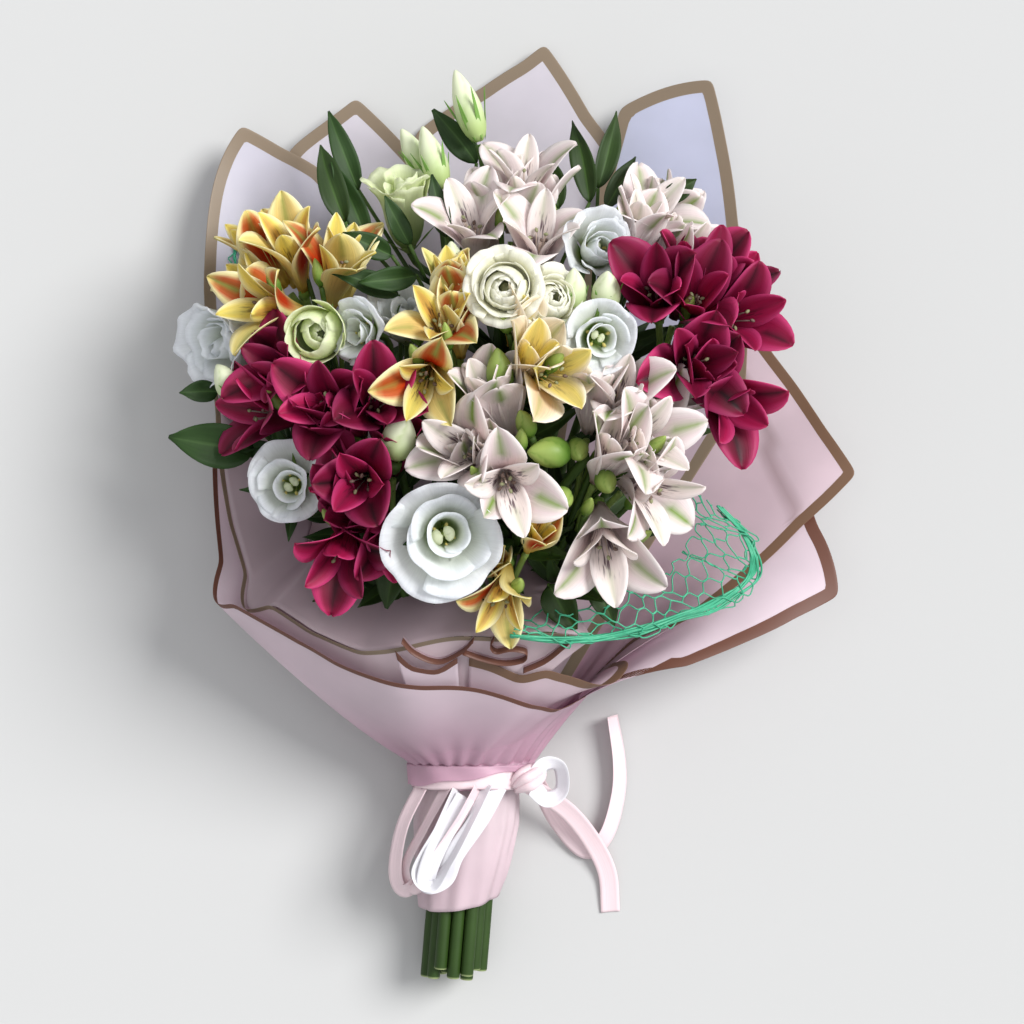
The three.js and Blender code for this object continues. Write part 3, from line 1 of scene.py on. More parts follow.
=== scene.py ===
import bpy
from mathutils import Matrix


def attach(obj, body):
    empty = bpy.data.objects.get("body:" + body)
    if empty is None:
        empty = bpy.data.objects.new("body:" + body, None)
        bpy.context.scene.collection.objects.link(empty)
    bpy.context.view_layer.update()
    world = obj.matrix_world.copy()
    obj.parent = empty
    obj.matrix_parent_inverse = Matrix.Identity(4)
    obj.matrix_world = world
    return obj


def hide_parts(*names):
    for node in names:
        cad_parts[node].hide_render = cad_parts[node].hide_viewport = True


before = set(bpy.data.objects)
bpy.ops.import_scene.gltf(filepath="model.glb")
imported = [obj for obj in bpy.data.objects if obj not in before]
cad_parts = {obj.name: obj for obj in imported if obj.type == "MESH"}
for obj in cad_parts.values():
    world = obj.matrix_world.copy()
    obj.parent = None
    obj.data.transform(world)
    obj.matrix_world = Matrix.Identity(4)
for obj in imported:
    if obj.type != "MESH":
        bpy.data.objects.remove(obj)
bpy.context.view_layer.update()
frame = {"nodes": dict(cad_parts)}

import logging
import math
from dataclasses import dataclass
from enum import Enum
from typing import Sequence

import bpy
import numpy as np
from mathutils import Matrix

Array = np.ndarray
Material, Tree, Piece = bpy.types.Material, bpy.types.NodeTree, bpy.types.Object
log = logging.getLogger("bouquet")

# ---- sizes, in millimetres ----

MM = 0.001
TIE = np.array([-23.0, -142.0, 29.2])  # middle of the stalks where they are bound
RUN = np.array([0.085, 1.0, 0.07])  # way the stalks run through the binding
STALK_RADIUS, STALK_PITCH = 3.6, 7.6
ROWS_IN_HAND = (3, 4, 5, 4, 3)  # stalks in each row of the bundle, from the lowest
CUT_ENDS = (-258.0, -270.0)  # y of the shortest and the longest stalk's end
HUB_BACK = 46.0  # from the mean of a stalk's tips back to its fork
FORK_RADIUS, PEDICEL_RADIUS, TOP_RADIUS, BUD_STALK_RADIUS = 2.3, 1.5, 2.1, 1.3
FIXED_TOP = 3  # points at a strand's end that keep their place
HANDLE, STRAND_STEP = 0.36, 8.0  # a strand's Bezier handles as a share of its length, and its step
ROOT_Y, SLEEVE_Y, SKIRT_HEM_Y = -143.0, -157.0, -222.0
ROOT_WIDE, ROOT_TALL = 33.0, 27.0  # half width and half height of the film in the binding
LAYER_AT_ROOT, LAYER_AT_RIM = 1.5, 4.6  # from one layer of film to the next
FILM = 0.8  # thickness of the solids that stand for the film
SHEER, PETAL, RIBBON = 0.3, 0.45, 0.28  # thickness of the finer film, of a petal or leaf, and of satin
UMBEL_OWNER = 100  # added to a stalk's number, marks the pedicels that belong to its umbel


# ---- numbers and directions ----


class Draws:
    """A repeatable source of numbers from 0 to 1 (a 32-bit mixing generator)."""

    MASK = 0xFFFFFFFF

    def __init__(self, seed: int) -> None:
        """Starts the source at a seed."""
        self.state = seed

    def __call__(self) -> float:
        """The next number."""
        self.state = (self.state + 0x6D2B79F5) & self.MASK
        t = ((self.state ^ (self.state >> 15)) * (1 | self.state)) & self.MASK
        t = ((t + (((t ^ (t >> 7)) * (61 | t)) & self.MASK)) & self.MASK) ^ t
        return (t ^ (t >> 14)) / 4294967296

    def between(self, low: float, high: float) -> float:
        """The next number, stretched to run from low to high."""
        return low + (high - low) * self()


def unit(v: Array) -> Array:
    """The same directions with length 1."""
    return v / np.maximum(np.linalg.norm(v, axis=-1, keepdims=True), 1e-9)


def smooth_step(low: float, high: float, x: Array) -> Array:
    """0 below low, 1 above high, and 3s^2 - 2s^3 between them."""
    s = np.clip((np.asarray(x, float) - low) / (high - low), 0, 1)
    return s * s * (3 - 2 * s)


@dataclass(frozen=True)
class Frame:
    """A bloom's own axes: where it is rooted, and three unit vectors, z along its axis."""

    base: Array
    x: Array
    y: Array
    z: Array

    @staticmethod
    def along(way: Array, roll: float = 0.0, base: Array | None = None) -> "Frame":
        """Axes with z along a way.

        Args:
            way: direction of the z axis.
            roll: turn about it, in radians.
            base: origin, or None for (0, 0, 0).

        Returns:
            The frame: x is up cross z, turned by roll, and y is z cross x.
        """
        z = unit(np.asarray(way, float))
        helper = np.array([0.0, 0, 1]) if abs(z[2]) < 0.92 else np.array([0.0, 1, 0])
        flat = unit(np.cross(helper, z))
        x = flat * math.cos(roll) + np.cross(z, flat) * math.sin(roll)
        return Frame(np.zeros(3) if base is None else base, x, np.cross(z, x), z)

    def place(self, radius: Array, angle: Array, height: Array) -> Array:
        """Points at base + r cos(a) x + r sin(a) y + h z, for whole arrays of r, a and h."""
        r, a, h = (np.asarray(k, float)[..., None] for k in np.broadcast_arrays(radius, angle, height))
        return self.base + r * np.cos(a) * self.x + r * np.sin(a) * self.y + h * self.z

    def out(self, angle: float) -> Array:
        """The unit vector that points away from the axis at an angle."""
        return self.place(1.0, angle, 0.0) - self.base


def full_turn(count: int) -> Array:
    """A row of evenly spaced angles, once round."""
    return np.linspace(0, 2 * math.pi, count, endpoint=False)[None]


def stacked(x: Array, y: Array, z: Array) -> Array:
    """Points from arrays of x, y and z, stretched to one shape."""
    return np.stack(np.broadcast_arrays(x, y, z), -1)


def midline(slopes: Sequence[float], v: Array) -> tuple[Array, Array]:
    """A petal's midline, walked in 24 steps whose slope from the axis is the parabola through three angles.

    Args:
        slopes: the angle at the root, halfway and at the tip, in radians.
        v: fractions of the petal's length.

    Returns:
        Distance from the root and height at each v, for a petal 1 long.
    """
    low, middle, high = slopes
    m = (np.arange(24) + 0.5) / 24
    slope = low * (1 - m) * (1 - 2 * m) + middle * 4 * m * (1 - m) + high * m * (2 * m - 1)
    grid = np.linspace(0, 1, 25)
    out = np.concatenate([[0], np.cumsum(np.sin(slope)) / 24])
    up = np.concatenate([[0], np.cumsum(np.cos(slope)) / 24])
    v = np.clip(v, 0, 1)
    return np.interp(v, grid, out), np.interp(v, grid, up)


def cubic(a: Array, b: Array, c: Array, d: Array, f: Array) -> Array:
    """The Catmull-Rom cubic from b to c at fractions f, with a before them and d after."""
    return 0.5 * (2 * b + (c - a) * f + (2 * a - 5 * b + 4 * c - d) * f**2 + (3 * b - a - 3 * c + d) * f**3)


def spline(points: Array, count: int) -> Array:
    """A smooth line through points, sampled evenly in the parameter of its cubics.

    Args:
        points: (n, 3) points on the line.
        count: how many samples.

    Returns:
        (count, 3) samples, both ends included.
    """
    p = np.vstack([2 * points[0] - points[1], points, 2 * points[-1] - points[-2]])
    t = np.linspace(0, len(points) - 1, count)
    i = np.minimum(t.astype(int), len(points) - 2)
    return cubic(p[i], p[i + 1], p[i + 2], p[i + 3], (t - i)[:, None])


def grid_normals(points: Array, loop: bool = False) -> Array:
    """Unit normals of a grid of points: the cross product of central differences along and across.

    Args:
        points: (rows, columns, 3).
        loop: True where the last column joins the first.

    Returns:
        (rows, columns, 3) unit vectors.
    """
    along = np.gradient(points, axis=0)
    if loop:
        across = np.roll(points, -1, axis=1) - np.roll(points, 1, axis=1)
    else:
        across = np.gradient(points, axis=1)
    return unit(np.cross(along, across))


def rings_round(path: Array, radii: Array, sides: int) -> Array:
    """Rings of points round a path: centre + r (cos a s + sin a t), with s carried along untwisted.

    Args:
        path: (n, 3) centreline.
        radii: (n,) radius at each point.
        sides: points in a ring.

    Returns:
        (n, sides, 3) points.
    """
    way = unit(np.gradient(path, axis=0))
    side = np.empty_like(way)
    side[0] = Frame.along(way[0]).x
    for i in range(1, len(path)):
        side[i] = side[i - 1] - way[i] * np.dot(side[i - 1], way[i])
        side[i] /= np.linalg.norm(side[i])
    other = np.cross(way, side)
    a = full_turn(sides)[..., None]
    reach = np.asarray(radii, float)[:, None, None]
    return path[:, None] + reach * (np.cos(a) * side[:, None] + np.sin(a) * other[:, None])


# ---- colour ----


def linear(hex_colour: str) -> Array:
    """An sRGB hex value as linear red, green and blue."""
    value = np.array([int(hex_colour[i : i + 2], 16) / 255 for i in (1, 3, 5)])
    return np.where(value <= 0.04045, value / 12.92, ((value + 0.055) / 1.055) ** 2.4)


def solid(hex_colour: str) -> Array:
    """One tint for a whole surface, with no mask."""
    return np.append(linear(hex_colour), 0)


def blend(first: Array, second: Array, share: Array) -> Array:
    """first where share is 0 and second where it is 1, over arrays of colours."""
    s = np.asarray(share, float)[..., None]
    return first * (1 - s) + second * s


def masked(tint: Array, mask: Array | float = 0.0) -> Array:
    """Colours with a mask as their fourth number."""
    return np.concatenate([tint, np.broadcast_to(mask, tint.shape[:-1])[..., None]], -1)


OWN_COLOUR = np.array([1.0, 1, 1, 0])  # the tint of a piece that its material colours alone


# ---- meshes ----


class Shell:
    """Gathers the closed surfaces of one piece, and makes its mesh.

    Each point carries a tint (linear colour and a mask) and a place on the surface (u, v).
    """

    def __init__(self) -> None:
        """An empty piece."""
        self.points: list[Array] = []
        self.tints: list[Array] = []
        self.places: list[Array] = []
        self.faces: list[Array] = []
        self.flat: list[Array] = []
        self.kinds: list[Array] = []
        self.count = 0

    def _add_points(self, points: Array, tint: Array, place: Array) -> int:
        """Stores points with their tints and places, and returns the number of the first."""
        n = points.reshape(-1, 3).shape[0]
        self.points.append(points.reshape(-1, 3))
        self.tints.append(np.broadcast_to(tint, points.shape[:-1] + (4,)).reshape(-1, 4))
        self.places.append(np.broadcast_to(place, points.shape[:-1] + (2,)).reshape(-1, 2))
        self.count += n
        return self.count - n

    def _add_faces(self, faces: Array, flat: bool, kind: int) -> None:
        """Stores faces of four corners. A triangle has its last corner twice."""
        faces = faces.reshape(-1, 4)
        self.faces.append(faces)
        self.flat.append(np.full(len(faces), flat))
        self.kinds.append(np.full(len(faces), kind))

    def sheet(self, points: Array, tint: Array, thickness: float, loop: bool = False, kind: int = 0) -> None:
        """A closed sheet: both faces lie half a thickness along the normals, joined by walls.

        Args:
            points: (rows, columns, 3) middle surface.
            tint: (rows, columns, 4) or one tint for all.
            thickness: full thickness, thinned to a third at the free edges.
            loop: True where the last column joins the first.
            kind: number of the material.
        """
        rows, columns = points.shape[:2]
        normals = grid_normals(points, loop)
        thick = np.full((rows, columns, 1), thickness / 2)
        thick[[0, -1]] /= 3
        if not loop:
            thick[:, [0, -1]] /= 3
        v, u = np.meshgrid(np.linspace(0, 1, rows), np.linspace(0, 1, columns), indexing="ij")
        place = np.stack([u, v], -1)
        top = self._add_points(points + normals * thick, tint, place)
        low = self._add_points(points - normals * thick, tint, place)
        at = np.arange(rows * columns).reshape(rows, columns)
        if loop:
            at = np.hstack([at, at[:, :1]])
        a, b, c, d = at[:-1, :-1], at[:-1, 1:], at[1:, 1:], at[1:, :-1]
        self._add_faces(np.stack([a, d, c, b], -1) + top, False, kind)
        self._add_faces(np.stack([a, b, c, d], -1) + low, False, kind)
        rims = [at[0], at[-1][::-1]]
        if not loop:
            rims += [at[::-1, 0], at[:, -1]]
        for rim in rims:
            p, q = rim[:-1], rim[1:]
            self._add_faces(np.stack([p + top, q + top, q + low, p + low], -1), True, kind)

    def skin(self, points: Array, tint: Array, kind: int = 0) -> None:
        """A tube of rings, closed at both ends by a pole.

        Args:
            points: (rings, sides, 3).
            tint: (rings, sides, 4) or one tint for all.
            kind: number of the material.
        """
        rings, sides = points.shape[:2]
        tints = np.broadcast_to(tint, (rings, sides, 4))
        v, u = np.meshgrid(np.linspace(0, 1, rings), np.linspace(0, 1, sides), indexing="ij")
        first = self._add_points(points, tints, np.stack([u, v], -1))
        at = np.arange(rings * sides).reshape(rings, sides) + first
        at = np.hstack([at, at[:, :1]])
        self._add_faces(np.stack([at[:-1, :-1], at[:-1, 1:], at[1:, 1:], at[1:, :-1]], -1), False, kind)
        for ring, line in ((0, at[0][::-1]), (-1, at[-1])):
            pole = self._add_points(points[ring].mean(0)[None], tints[ring, :1], np.array([[0.5, abs(ring)]]))
            p, q = line[:-1], line[1:]
            self._add_faces(np.stack([p, q, np.full_like(p, pole), np.full_like(p, pole)], -1), False, kind)

    def tube(self, path: Array, radii: Array, tint: Array, sides: int = 8, kind: int = 0) -> None:
        """A closed round rod along a path."""
        tint = np.asarray(tint, float)
        if tint.ndim == 2:
            tint = tint[:, None]
        self.skin(rings_round(path, np.broadcast_to(radii, len(path)), sides), tint, kind)

    def make(self, name: str, slot: str, materials: Sequence[Material], *nodes: str) -> Piece:
        """Makes the piece's object, sets it on the part's body and lets it stand for CAD nodes.

        Args:
            name: the piece's name.
            slot: the record's material slot name; not used.
            materials: its materials, in the order of their numbers.
            nodes: the CAD nodes that it replaces.

        Returns:
            The object.
        """
        points = np.vstack(self.points) * MM
        faces = np.vstack(self.faces).astype(np.int32)
        flat = np.concatenate(self.flat)
        kinds = np.concatenate(self.kinds).astype(np.int32)
        three = faces[:, 2] == faces[:, 3]
        sizes = np.where(three, 3, 4).astype(np.int32)
        keep = np.ones(faces.shape, bool)
        keep[three, 3] = False
        corners = faces[keep]
        mesh = bpy.data.meshes.new(name)
        mesh.vertices.add(len(points))
        mesh.vertices.foreach_set("co", points.astype(np.float32).ravel())
        mesh.loops.add(len(corners))
        mesh.loops.foreach_set("vertex_index", corners)
        mesh.polygons.add(len(faces))
        mesh.polygons.foreach_set("loop_start", (np.cumsum(sizes) - sizes).astype(np.int32))
        mesh.polygons.foreach_set("material_index", kinds)
        mesh.update(calc_edges=True)
        mesh.polygons.foreach_set("use_smooth", ~flat)
        tint = mesh.attributes.new("tint", "FLOAT_COLOR", "POINT")
        tint.data.foreach_set("color", np.vstack(self.tints).astype(np.float32).ravel())
        layer = mesh.uv_layers.new(name="surface")
        layer.data.foreach_set("uv", np.vstack(self.places)[corners].astype(np.float32).ravel())
        for material in materials:
            mesh.materials.append(material)
        piece = bpy.data.objects.new(name, mesh)
        bpy.context.scene.collection.objects.link(piece)
        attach(piece, "root")
        if nodes:
            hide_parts(*nodes)
        log.info("%s: %d faces", name, len(faces))
        return piece


# ---- finishes ----


def add_node(tree: Tree, kind: str, inputs: dict | None = None, **settings: object) -> bpy.types.Node:
    """Adds a node, sets its properties, and sets or links its inputs.

    Args:
        tree: the material's node tree.
        kind: the node's type name.
        inputs: input name or number to a value, or to an output socket to link.
        settings: properties of the node.

    Returns:
        The node.
    """
    made = tree.nodes.new(kind)
    for key, value in settings.items():
        setattr(made, key, value)
    for key, value in (inputs or {}).items():
        if isinstance(value, bpy.types.NodeSocket):
            tree.links.new(value, made.inputs[key])
        else:
            made.inputs[key].default_value = value
    return made


def mix_colours(tree: Tree, way: str, factor: object, first: object, second: object) -> object:
    """The socket of two colours mixed the given way, such as MIX or MULTIPLY. Each is a value or a socket."""
    inputs = {0: factor, 6: first, 7: second}
    return add_node(tree, "ShaderNodeMix", inputs, data_type="RGBA", blend_type=way).outputs[2]


def surface_noise(tree: Tree, across: float, along: float, detail: float) -> object:
    """Noise on a piece's own UV map, with so many grains across and along."""
    where = add_node(tree, "ShaderNodeUVMap", uv_map="surface").outputs[0]
    spread = add_node(tree, "ShaderNodeMapping", {"Vector": where, "Scale": (across, along, 1.0)}).outputs[0]
    return add_node(tree, "ShaderNodeTexNoise", {"Vector": spread, "Scale": 1.0, "Detail": detail}).outputs["Fac"]


def body_noise(tree: Tree, size_mm: float, detail: float) -> object:
    """Noise through the body, with grains of a size in mm."""
    body = add_node(tree, "ShaderNodeTexCoord").outputs["Object"]
    inputs = {"Vector": body, "Scale": 1000 / size_mm, "Detail": detail}
    return add_node(tree, "ShaderNodeTexNoise", inputs).outputs["Fac"]


def ranged(tree: Tree, value: object, start: float, stop: float, low: float, high: float) -> object:
    """A value from start to stop, stretched to run from low to high."""
    return add_node(tree, "ShaderNodeMapRange", {"Value": value, 1: start, 2: stop, 3: low, 4: high}).outputs[0]


def bumped(tree: Tree, height: object, strength: float, distance: float) -> object:
    """The normal of a surface with fine relief, its depth in metres."""
    return add_node(tree, "ShaderNodeBump", {"Height": height, "Strength": strength, "Distance": distance}).outputs[0]


def tint_node(tree: Tree) -> bpy.types.Node:
    """The tint that the mesh carries."""
    return add_node(tree, "ShaderNodeAttribute", attribute_name="tint")


def opaque(hex_colour: str) -> tuple[float, ...]:
    """An sRGB hex value as a socket's linear colour."""
    return tuple(linear(hex_colour)) + (1.0,)


def glowing(tree: Tree, glow: float, skin: dict) -> object:
    """A Principled skin, and behind it a share of light that comes through in the same colour."""
    front = add_node(tree, "ShaderNodeBsdfPrincipled", skin).outputs[0]
    through = add_node(tree, "ShaderNodeBsdfTranslucent", {"Color": skin["Base Color"]}).outputs[0]
    return add_node(tree, "ShaderNodeMixShader", {0: glow, 1: front, 2: through}).outputs[0]


def new_material(name: str) -> tuple[Material, Tree, bpy.types.Node]:
    """An empty material with its output node."""
    material = bpy.data.materials.new(name)
    material.use_nodes = True
    tree = material.node_tree
    tree.nodes.clear()
    return material, tree, tree.nodes.new("ShaderNodeOutputMaterial")


@dataclass(frozen=True)
class Finish:
    """A material of one name. Each kind below wires its own shader."""

    name: str

    def shader(self, tree: Tree) -> object:
        """The socket of the finished shader."""
        raise NotImplementedError

    def build(self) -> Material:
        """The material."""
        material, tree, output = new_material(self.name)
        tree.links.new(self.shader(tree), output.inputs[0])
        return material


@dataclass(frozen=True)
class PetalFinish(Finish):
    """Fresh petal: a soft matt skin that light glows through, with fine veins along it.

    Veins are about 0.6 mm apart, streaks about 6 mm long and 1 mm wide.
    """

    streak: str
    veins: float = 0.06
    glow: float = 0.34
    width_mm: float = 24.0

    def shader(self, tree: Tree) -> object:
        """Tint attribute, darkened by veins and by streaks where the tint's mask allows."""
        tint = tint_node(tree)
        veins = surface_noise(tree, self.width_mm / 0.6, 3.0, 1.0)
        shade = ranged(tree, veins, 0.35, 0.65, 1 - self.veins, 1 + self.veins)
        shaded = mix_colours(tree, "MULTIPLY", 1.0, tint.outputs["Color"], shade)
        sharp = ranged(tree, surface_noise(tree, 14.0, 4.5, 2.0), 0.53, 0.6, 0.0, 1.0)
        dashes = add_node(tree, "ShaderNodeMath", {0: sharp, 1: tint.outputs["Alpha"]}, operation="MULTIPLY")
        colour = mix_colours(tree, "MIX", dashes.outputs[0], shaded, opaque(self.streak))
        bump = bumped(tree, veins, 0.25, 0.0004)
        return glowing(tree, self.glow, {"Base Color": colour, "Roughness": 0.5, "IOR": 1.4, "Normal": bump})


@dataclass(frozen=True)
class LeafFinish(Finish):
    """Living leaf or stem: waxy green skin, a little glossy, with parallel veins about 1 mm apart."""

    veins: float = 0.14
    glow: float = 0.1
    roughness: float = 0.58
    width_mm: float = 16.0

    def shader(self, tree: Tree) -> object:
        """Tint attribute with veins across the width and slow mottling in 12 mm patches."""
        veins = surface_noise(tree, self.width_mm, 1.2, 2.0)
        total = add_node(tree, "ShaderNodeMath", {0: veins, 1: body_noise(tree, 12, 2.0)}, operation="ADD").outputs[0]
        shade = ranged(tree, total, 0.7, 1.3, 1 - self.veins, 1 + self.veins)
        colour = mix_colours(tree, "MULTIPLY", 1.0, tint_node(tree).outputs["Color"], shade)
        bump = bumped(tree, veins, 0.3, 0.0005)
        skin = {"Base Color": colour, "Roughness": self.roughness, "IOR": 1.42, "Normal": bump}
        return glowing(tree, self.glow, skin)


@dataclass(frozen=True)
class FilmFinish(Finish):
    """Frosted florist's film: thin matt polypropylene, milky, with a printed band along its edge.

    The tint's mask holds the distance to the edge in units of 100 mm, so the band has its real width.
    """

    band: str
    band_mm: float
    cover: float = 0.88

    def shader(self, tree: Tree) -> object:
        """Tint, band where the distance to the edge is small, seen-through share, faint haze."""
        tint = tint_node(tree)
        limit = {0: tint.outputs["Alpha"], 1: self.band_mm / 100}
        near = add_node(tree, "ShaderNodeMath", limit, operation="LESS_THAN").outputs[0]
        haze = ranged(tree, body_noise(tree, 40, 3.0), 0.3, 0.7, 0.95, 1.05)
        film = mix_colours(tree, "MULTIPLY", 1.0, tint.outputs["Color"], haze)
        colour = mix_colours(tree, "MIX", near, film, opaque(self.band))
        milky = glowing(tree, 0.45, {"Base Color": colour, "Roughness": 0.42, "IOR": 1.49})
        clear = add_node(tree, "ShaderNodeBsdfTransparent").outputs[0]
        cover = ranged(tree, near, 0.0, 1.0, self.cover, 0.97)
        return add_node(tree, "ShaderNodeMixShader", {0: cover, 1: clear, 2: milky}).outputs[0]


@dataclass(frozen=True)
class SatinFinish(Finish):
    """Woven satin ribbon: polyester with long floats, so it shines softly in bands. Threads 0.35 mm apart."""

    colour: str
    width_mm: float = 11.0

    def shader(self, tree: Tree) -> object:
        """Colour with fine threads across, a smooth sheen and a little light through it."""
        weave = surface_noise(tree, self.width_mm / 0.35, 2.0, 1.0)
        shade = ranged(tree, weave, 0.3, 0.7, 0.94, 1.04)
        colour = mix_colours(tree, "MULTIPLY", 1.0, opaque(self.colour), shade)
        bump = bumped(tree, weave, 0.2, 0.0002)
        skin = {"Base Color": colour, "Roughness": 0.3, "IOR": 1.5, "Sheen Weight": 0.3, "Normal": bump}
        return glowing(tree, 0.2, skin)


@dataclass(frozen=True)
class PlainFinish(Finish):
    """A plain matt or half-gloss stuff, such as knitted net or spun twine, with grain of a real size."""

    colour: str
    roughness: float
    grain_mm: float
    contrast: float

    def shader(self, tree: Tree) -> object:
        """One colour, lighter and darker in grains of the given size."""
        grain = body_noise(tree, self.grain_mm, 3.0)
        shade = ranged(tree, grain, 0.3, 0.7, 1 - self.contrast, 1 + self.contrast)
        colour = mix_colours(tree, "MULTIPLY", 1.0, opaque(self.colour), shade)
        skin = {"Base Color": colour, "Roughness": self.roughness}
        return add_node(tree, "ShaderNodeBsdfPrincipled", skin).outputs[0]


class Finishes:
    """Every finish of the bouquet, each built once."""

    def __init__(self) -> None:
        """Builds the materials."""
        self.alstroemeria = PetalFinish("alstroemeria_petal_fresh", "#4a1626", veins=0.06).build()
        self.blush = PetalFinish("alstroemeria_petal_blush", "#5b3a4a", veins=0.03).build()
        self.lisianthus = PetalFinish("lisianthus_petal_fresh", "#9fae8a", 0.025, glow=0.55, width_mm=40).build()
        self.rose = PetalFinish("rose_petal_fresh", "#b9b08a", veins=0.02, glow=0.42, width_mm=30).build()
        self.leaf = LeafFinish("leaf_waxy_green").build()
        self.stem = LeafFinish("stem_fresh_green", veins=0.16, glow=0.04, width_mm=5.0).build()
        self.bud = LeafFinish("bud_fresh", veins=0.06, glow=0.2, roughness=0.45, width_mm=7.0).build()
        self.back_film = FilmFinish("film_frosted_taupe_band", "#a3917c", 7.0).build()
        self.right_film = FilmFinish("film_frosted_bronze_band", "#93735c", 6.0).build()
        self.front_film = FilmFinish("film_frosted_copper_band", "#84594a", 3.2, cover=0.94).build()
        self.skirt_film = FilmFinish("film_frosted_plain", "#6d4437", 0.0, cover=0.95).build()
        self.net = PlainFinish("net_knitted_polyethylene", "#3a9f79", 0.45, 3.0, 0.12).build()
        self.twine = PlainFinish("twine_spun_jute", "#b79a6a", 0.9, 0.8, 0.3).build()
        self.pink_satin = SatinFinish("ribbon_satin_pink", "#f6e0e4").build()
        self.white_satin = SatinFinish("ribbon_satin_white", "#f1f0f4").build()


# ---- what the bouquet is made of ----


class Shape(Enum):
    """The forms of bloom."""

    FLORET = "floret"
    OPEN = "open"
    CUP = "cup"
    TRUMPET = "trumpet"
    OPENING = "opening"
    ROSE = "rose"


@dataclass(frozen=True)
class BloomSpec:
    """A bloom: the middle of its rim, its width across and its lean."""

    node: str
    at: tuple[float, float, float]
    across: float
    lean: tuple[float, float]
    shape: Shape = Shape.FLORET


@dataclass(frozen=True)
class StalkSpec:
    """A stalk and what grows on it. Buds and leaves are (root x, y, z, tip x, y, z, width)."""

    name: str
    blooms: tuple[BloomSpec, ...]
    buds: tuple[tuple[float, ...], ...] = ()
    leaves: tuple[tuple[float, ...], ...] = ()

    @property
    def is_umbel(self) -> bool:
        """True where the stalk ends in an umbel of florets."""
        return self.blooms[0].shape is Shape.FLORET


def umbel(node: str, *rows: tuple[float, ...]) -> tuple[BloomSpec, ...]:
    """The florets of one umbel, from its node's own name and rows of (x, y, z, across, lean x, lean y)."""
    return tuple(BloomSpec("alstroemeria_" + node, row[:3], row[3], row[4:6]) for row in rows)


def single(node: str, shape: Shape, *row: float) -> BloomSpec:
    """A bowl-shaped bloom, from (x, y, z, across, lean x, lean y)."""
    return BloomSpec(node, row[:3], row[3], row[4:6], shape)


